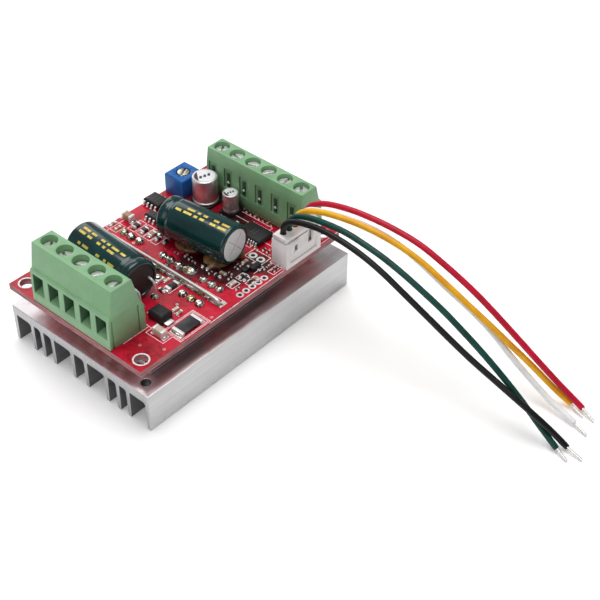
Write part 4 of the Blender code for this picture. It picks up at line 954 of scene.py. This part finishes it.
# Bars in place of the maker's lettering: (start, end) along the sleeve in millimetres, from the lead end
PRINT_BARS_MM = ((4.0, 5.6), (6.3, 8.6), (9.3, 10.3), (11.0, 12.3), (14.0, 15.6), (16.3, 18.6))
SECOND_BARS_MM = ((4.4, 6.4), (7.1, 7.9), (9.4, 10.6), (13.4, 15.4), (16.1, 17.0))


def bulk_capacitor(name, node, start, stop, first_rows, second_rows, minus_row):
    """A sleeved capacitor: its turned sleeve, closed end, bung and print, as one piece."""
    place = lying(start, stop)
    length = place[3]
    r = CAPACITOR_RADIUS
    bead = 0.32 * MM
    along = np.linspace(0, 1, 9)
    groove = np.column_stack([(1.7 + 1.8 * along) * MM, r - bead * np.sin(along * math.pi) ** 2])
    round_end = np.linspace(0, math.pi / 2, 6)
    front_rim = np.column_stack(
        [0.75 * MM * (1 - np.sin(round_end)), r - 0.75 * MM * (1 - np.cos(round_end))]
    )[::-1]
    back_rim = np.column_stack(
        [length - 0.8 * MM * (1 - np.sin(round_end)), r - 0.8 * MM * (1 - np.cos(round_end))]
    )
    sleeve = np.vstack([
        [(0.35 * MM, 3.9 * MM)], [(0.0, 4.1 * MM)], front_rim, groove, back_rim,
        [(length - 0.05 * MM, 4.05 * MM)], [(length - 0.25 * MM, 3.95 * MM)],
    ])
    parts = [(lying_turned(place, sleeve), sleeve_teal)]
    cap = (
        (length - 0.35 * MM, 4.0 * MM), (length - 0.12 * MM, 3.95 * MM), (length - 0.1 * MM, 3.7 * MM),
        (length - 0.1 * MM, 0.4 * MM)
    )
    parts.append((lying_turned(place, cap, 48), scored_end))
    bung = ((0.5 * MM, 4.0 * MM), (0.22 * MM, 3.9 * MM), (0.15 * MM, 3.2 * MM), (0.15 * MM, 0.4 * MM))
    parts.append((lying_turned(place, bung, 48), bung_rubber))
    origin, axis, level, _ = place
    # Dark lines across the closed end: painted shade in the scored cross.
    for turn in (math.radians(48), math.radians(138)):
        across = level * math.cos(turn) + UP * math.sin(turn)
        ends = [origin + (length - 0.11 * MM) * axis + across * reach * MM for reach in (-3.3, 3.3)]
        parts.append((skin(round_path(np.linspace(ends[0], ends[1], 6), 0.055 * MM, 8, axis)), score_shade))
    for bars, rows in ((PRINT_BARS_MM, first_rows), (SECOND_BARS_MM, second_rows)):
        for number, row in enumerate(rows):
            for low, high in bars[number:]:
                edges = mm(low + 0.35 * number, high + 0.2 * number)
                parts.append((lying_patch(place, edges, row, r + PRINT_LIFT), gold_print))
    for k in range(4):
        parts.append((
            lying_patch(place, mm(5.0 + 3.6 * k, 7.0 + 3.6 * k), minus_row, r + PRINT_LIFT), gold_print
        ))
    can = piece(name, parts, sharp=50)
    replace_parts(can, node)


bulk_capacitor(
    "left_capacitor", "bulk_capacitor_left", mm(-17.0, -4.3), mm(-15.6, 16.3), ((91, 98), (105, 112)),
    ((132, 139), (146, 153)), (-28, -18)
)
bulk_capacitor(
    "right_capacitor", "bulk_capacitor_right", mm(4.3, 8.8), mm(6.2, -10.9), ((66, 73), (80, 87)), (),
    (188, 200)
)

# Leads bent down from the bungs into the board, and the glue that holds the cans
lead_parts = []
LEADS_MM = (
    ((-14.5, -4.3, 21.6), (-14.5, -5.3, 21.4), (-14.4, -5.9, 20.6), (-14.4, -5.9, 17.0)),
    ((-19.5, -4.2, 21.6), (-19.3, -5.3, 21.4), (-19.0, -5.9, 20.6), (-18.9, -5.9, 17.0)),
    ((2.0, 8.8, 21.6), (2.0, 9.5, 21.5), (1.9, 9.9, 20.9), (1.9, 9.9, 17.0)),
    ((6.7, 9.0, 21.6), (6.8, 9.8, 21.5), (6.9, 10.2, 20.9), (6.9, 10.2, 17.0)),
)
for line in LEADS_MM:
    points = evenly_spaced(smooth_curve([mm(*point) for point in line]), 0.3 * MM)
    lead_parts.append((skin(round_path(points, 0.3 * MM, 12)), dull_tin))
    lead_parts.append(soldered_pin(((0.3, -1.8), (0.4, -0.8), (1.1, 0.0)), mm(*line[-1][:2]), 14))
piece("capacitor_leads", lead_parts)
glue_parts = [
    (blob(mm(5.0, -6.6), mm(3.9, 3.4), BOARD_TOP, 1.7 * MM), amber_glue),
    (blob(mm(4.2, 2.2), mm(3.2, 3.6), BOARD_TOP, 1.3 * MM), amber_glue),
    (blob(mm(9.2, -8.6), mm(1.5, 2.0), BOARD_TOP, 2.3 * MM), amber_glue),
    (blob(mm(-15.9, 4.5), mm(3.4, 6.0), BOARD_TOP, 1.4 * MM), amber_glue),
]
piece("capacitor_glue", glue_parts, sharp=80)

# --------------------------------------
# Upright can capacitors: drawn aluminium cans crimped over black moulded bases with two cut corners,
# each with a dark sector and short dark bars printed on top.
# --------------------------------------
# The slight pink in the cans' colour is a painted reflection of the red board round them.
can_aluminium = metal(
    "can_aluminium", (0.74, 0.70, 0.71), (0.62, 0.57, 0.59), 0.36, (1, 1, 0.15), 700, 0.003 * MM, 0.85
)
can_top = metal("can_top", (0.86, 0.86, 0.87), (0.74, 0.74, 0.76), 0.45, scale=1800, metallic=0.5)
can_ink = moulded("can_ink", (0.03, 0.03, 0.035), (0.015, 0.015, 0.018), 0.45, 0.01 * MM, 5000)


# The crimp over the base: (share of the can's radius, millimetres above the base)
CRIMP = ((0.99, -0.05), (1.02, 0.15), (1.02, 0.4), (0.93, 0.62), (0.93, 0.78), (0.985, 1.0))


def can_capacitor(name, node, radius, sector):
    """An upright can: turned shell with its crimp and rounded shoulder, square base, printed top."""
    low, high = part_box(node)
    middle = middle_of(node)
    half = (high.x - low.x) / 2
    top = high.z
    base_top = BOARD_TOP + 0.85 * MM
    cut = half * 0.62
    base = np.array([(-half, -cut), (-cut, -half), (half, -half), (half, half), (-cut, half), (-half, cut)])
    rings = [np.column_stack([base * scale + middle, np.full(6, z)]) for scale, z in
             ((1.0, BOARD_TOP), (1.0, base_top - 0.1 * MM), (0.97, base_top))]
    parts = [(skin(np.stack(rings)), epoxy)]
    shoulder = np.linspace(0, math.pi / 2, 6)
    bend = radius * 0.11
    profile = [(radius * share, base_top + rise * MM) for share, rise in CRIMP]
    profile += [(radius - bend * (1 - math.cos(a)), top - bend * (1 - math.sin(a))) for a in shoulder]
    profile += [(radius * 0.84, top), (radius * 0.8, top - 0.04 * MM), (radius * 0.2, top - 0.04 * MM)]
    parts.append((turned(profile, middle, 48), can_aluminium))
    parts.append((
        turned(((radius * 0.8, top - 0.045 * MM), (radius * 0.8, top - 0.03 * MM)), middle, 48), can_top
    ))
    angle = np.radians(np.linspace(*sector, 16))
    chord = np.column_stack(
        [middle[0] + radius * 0.8 * np.cos(angle), middle[1] + radius * 0.8 * np.sin(angle)]
    )
    rings = [np.column_stack([chord, np.full(16, z)]) for z in (top - 0.03 * MM, top - 0.015 * MM)]
    parts.append((skin(np.stack(rings)), can_ink))
    for k in (-1, 0, 1):
        spot = (middle[0] + 0.34 * radius * k, middle[1] - 0.1 * radius * k)
        parts.append((
            slab(
                spot, (0.2 * radius, 0.34 * radius), top - 0.03 * MM, 0.015 * MM, 0.005 * MM,
                math.radians(-48)
            ),
            can_ink
        ))
    can = piece(name, parts, sharp=40)
    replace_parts(can, node)


can_capacitor("large_can", "can_capacitor_large", 3.15 * MM, (95, 190))
can_capacitor("small_can", "can_capacitor_small", 2.0 * MM, (120, 215))

# --------------------------------------
# Trimmer: blue thermoset box with a plated slotted rotor that a small screwdriver turns.
# --------------------------------------
trimmer_blue = moulded(
    "trimmer_blue", (0.006, 0.13, 0.44), (0.003, 0.09, 0.33), 0.42, 0.02 * MM, 3500, Specular_IOR_Level=0.35
)
refined("trimmer_box", "trimmer_body", 0.15 * MM, trimmer_blue, seat=TERMINAL_SEAT)
body_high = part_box("trimmer_body")[1]
rotor_middle = middle_of("trimmer_rotor")
dial_parts = []
for step in range(9):
    turn = math.radians(-140 + 35 * step)
    reach = 2.35 * MM
    spot = (rotor_middle[0] + reach * math.sin(turn), rotor_middle[1] + reach * math.cos(turn))
    dial_parts.append((
        slab(spot, (0.16 * MM, 0.5 * MM), body_high.z, 0.02 * MM, 0.005 * MM, -turn), hole_shade_and_ink
    ))
piece("trimmer_dial_marks", dial_parts, sharp=20)
refined("trimmer_slot", "trimmer_rotor", 0.05 * MM, nickel_brass, "trimmer_rotor")

# --------------------------------------
# Surface-mount parts: moulded chips with bent tinned legs, the diode, shunt and ceramic capacitors,
# and the many small resistors and capacitors with tinned ends round them.
# --------------------------------------
ceramic_brown = moulded("ceramic_brown", (0.40, 0.25, 0.15), (0.30, 0.18, 0.10), 0.42, 0.03 * MM, 4000)
ceramic_pale = moulded("ceramic_pale", (0.62, 0.52, 0.44), (0.50, 0.40, 0.32), 0.45, 0.03 * MM, 4000)
resistor_black = moulded("resistor_glaze", (0.020, 0.020, 0.024), (0.010, 0.010, 0.012), 0.3, 0.02 * MM, 5000)
chip_print = moulded("laser_mark", (0.11, 0.11, 0.11), (0.07, 0.07, 0.07), 0.6, 0.01 * MM, 5000)

CHIP_SEAT = (BOARD_TOP + 0.3 * MM, BOARD_TOP + 0.04 * MM)
LEG_SPAN = 0.75 * MM            # how far the legs reach in from the package's box
DIODE_END = 1.15 * MM           # and how far the diode's tinned ends do
for name in ("driver_chip", "gate_chip", "controller_chip"):
    low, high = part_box(name)

    def leg_finish(middle, normal, low=low, high=high):
        return epoxy if low.x + LEG_SPAN < middle.x < high.x - LEG_SPAN else dull_tin

    refined(f"{name}_package", name, 0.05 * MM, leg_finish, seat=CHIP_SEAT)
    corner = (low.x + 1.5 * MM, high.y - 0.75 * MM)
    mark_parts = [(disc_ring(corner, *mm(0.16, 0.3), high.z, high.z + 0.012 * MM, 18), chip_print)]
    for row in range(2):
        for k in range(3):
            spot = np.array(middle_of(name)) + mm((k - 1) * 0.75, 0.5 - row)
            mark_parts.append((slab(spot, (0.5 * MM, 0.12 * MM), high.z, 0.01 * MM, 0.004 * MM), chip_print))
    piece(f"{name}_marks", mark_parts)


def diode_finish(middle, normal):
    low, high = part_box("supply_diode")
    return epoxy if low.y + DIODE_END < middle.y < high.y - DIODE_END else dull_tin


refined("supply_diode_package", "supply_diode", 0.05 * MM, diode_finish, seat=CHIP_SEAT)
# Each larger part's node, the axis its ends lie along (0 is x), its finish, and an end's share of its length
ENDED_PARTS = (
    ("current_shunt", 0, resistor_black, 0.13), ("ceramic_capacitor_large", 1, ceramic_pale, 0.2),
    ("ceramic_capacitor_brown", 1, ceramic_brown, 0.22),
)
for node, axis, body_finish, share in ENDED_PARTS:
    low, high = (np.array(corner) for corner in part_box(node))
    refined(f"{node}_body", node, 0.05 * MM, body_finish, seat=CHIP_SEAT)
    size = high - low
    end_parts = []
    for way in (-1, 1):
        middle = (low + high) / 2
        cap_length = share * size[axis]
        middle[axis] += way * (size[axis] / 2 - cap_length / 2 + 0.04 * MM)
        cap_size = size[:2] + 0.08 * MM
        cap_size[axis] = cap_length
        end_parts.append((
            slab(middle[:2], cap_size, BOARD_TOP + THIN, high[2] - BOARD_TOP + 0.01 * MM, 0.08 * MM), dull_tin
        ))
        pad_middle = middle.copy()
        pad_middle[axis] += way * 0.45 * MM
        end_parts.append((
            slab(pad_middle[:2], cap_size + 0.2 * MM, BOARD_TOP, PAD_RISE, 0.03 * MM), dull_tin
        ))
        end_parts.append((blob(pad_middle[:2], cap_size * 0.5, BOARD_TOP, 0.45 * MM, 20, 6), solder))
    piece(f"{node}_ends", end_parts)


def chip_part(spot, size, turn, body_finish):
    """A small resistor or capacitor: its body, two tinned ends and the solder at their feet."""
    length, width, height = size
    turn = math.radians(turn)
    parts = [(
        slab(spot, (length * 0.62, width * 0.98), BOARD_TOP + 0.03 * MM, height, 0.04 * MM, turn), body_finish
    )]
    for way in (-1, 1):
        place = (spot[0] + way * length * 0.4 * math.cos(turn), spot[1] + way * length * 0.4 * math.sin(turn))
        parts.append((
            slab(place, (length * 0.22, width), BOARD_TOP + 0.02 * MM, height + 0.02 * MM, 0.04 * MM, turn),
            dull_tin
        ))
        foot = (
            spot[0] + way * length * 0.58 * math.cos(turn), spot[1] + way * length * 0.58 * math.sin(turn)
        )
        reach = (0.3 * width, 0.52 * width)
        across = abs(math.cos(turn)) > 0.5
        parts.append((blob(foot, reach if across else reach[::-1], BOARD_TOP, height * 0.6, 12, 5), solder))
    return parts


R, C, B = resistor_black, ceramic_brown, ceramic_pale
S0402, S0603, S0805, S1206 = mm(1.0, 0.5, 0.3), mm(1.6, 0.8, 0.45), mm(2.0, 1.25, 0.6), mm(3.2, 1.6, 0.7)
# Place in millimetres, size, turn in degrees and body of each small part
SMALL_PARTS = (
    (-2.6, 21.1, S0603, 0, C), (-2.9, 19.0, S0603, 0, C), (-9.7, -2.4, S0805, 0, B),
    (-8.7, -3.7, S0603, 0, B), (-9.4, -6.1, S1206, 0, R), (-11.9, -5.3, S0603, 90, R),
    (-14.4, -12.3, S0603, 0, B), (-14.6, -13.7, S0603, 0, C), (0.6, 16.3, S0805, 0, R),
    (0.6, 13.6, S0805, 0, R), (0.8, 11.1, S0805, 0, C), (0.6, 8.8, S0603, 0, R), (1.2, 6.8, S0603, 0, R),
    (-0.3, 1.8, S0402, 90, R), (0.5, -0.5, S0402, 0, C), (0.4, -1.9, S0402, 0, R), (0.0, -3.5, S0402, 90, R),
    (0.8, -6.2, S0603, 0, R), (0.8, -7.7, S0603, 0, C), (-0.2, -9.0, S0402, 0, R), (0.1, -11.0, S0603, 90, R),
    (1.5, -11.4, S0603, 90, C), (3.7, -15.2, S0603, 0, R), (3.6, -16.7, S0603, 0, R),
    (3.5, -18.2, S0603, 90, R), (5.0, -18.2, S0603, 90, C), (0.3, -15.6, S0603, 0, B),
    (-0.2, -17.5, S0402, 0, R), (1.3, -13.7, S0402, 0, R), (2.6, -12.6, S0402, 90, R),
    (7.8, -12.2, S0603, 0, C), (6.1, -12.0, S0402, 90, R), (4.9, -12.3, S0402, 90, R),
    (9.3, -17.3, S0402, 0, R), (10.9, -17.2, S0402, 0, C), (9.8, -19.2, S0402, 90, R),
    (11.0, -19.2, S0402, 90, R), (12.2, -19.2, S0402, 90, C), (14.2, -12.4, S0402, 0, R),
    (14.2, -13.6, S0402, 0, R), (13.4, -8.4, S0402, 90, R), (12.9, -11.0, S0402, 90, C),
    (17.3, -12.4, S0402, 0, R), (19.0, -12.6, S0402, 0, C), (13.2, 12.0, S0603, 90, R),
    (13.3, 9.3, S0603, 90, C), (14.9, 7.0, S0603, 0, R), (14.6, 2.4, S0603, 90, B), (16.7, 3.6, S0603, 90, R),
    (13.2, 5.0, S0402, 0, R), (17.0, -0.6, S0603, 0, R), (14.0, -1.4, S0402, 0, C),
)
small_parts = []
for x, y, size, turn, body_finish in SMALL_PARTS:
    small_parts += chip_part(mm(x, y), size, turn, body_finish)
for k in range(8):
    small_parts += chip_part(mm(22.45, 2.0 - 1.35 * k), mm(0.9, 0.5, 0.3), 0, R if k % 3 else C)
piece("small_parts", small_parts, sharp=45)

# Three-legged transistor between the small parts near the front edge
sot_low = BOARD_TOP + 0.1 * MM
sot_parts = [(slab(mm(7.9, -15.4), mm(1.3, 2.9), sot_low, 1.0 * MM, 0.12 * MM, math.radians(90)), epoxy)]
for x, y in ((7.0, -14.1), (8.8, -14.1), (7.9, -16.6)):
    sot_parts.append((slab(mm(x, y), mm(0.42, 0.9), BOARD_TOP, 0.3 * MM, 0.05 * MM), dull_tin))
sot_parts.append((slab(mm(5.7, -14.4), mm(1.6, 1.2), sot_low, 0.7 * MM, 0.08 * MM), epoxy))
piece("small_transistors", sot_parts)
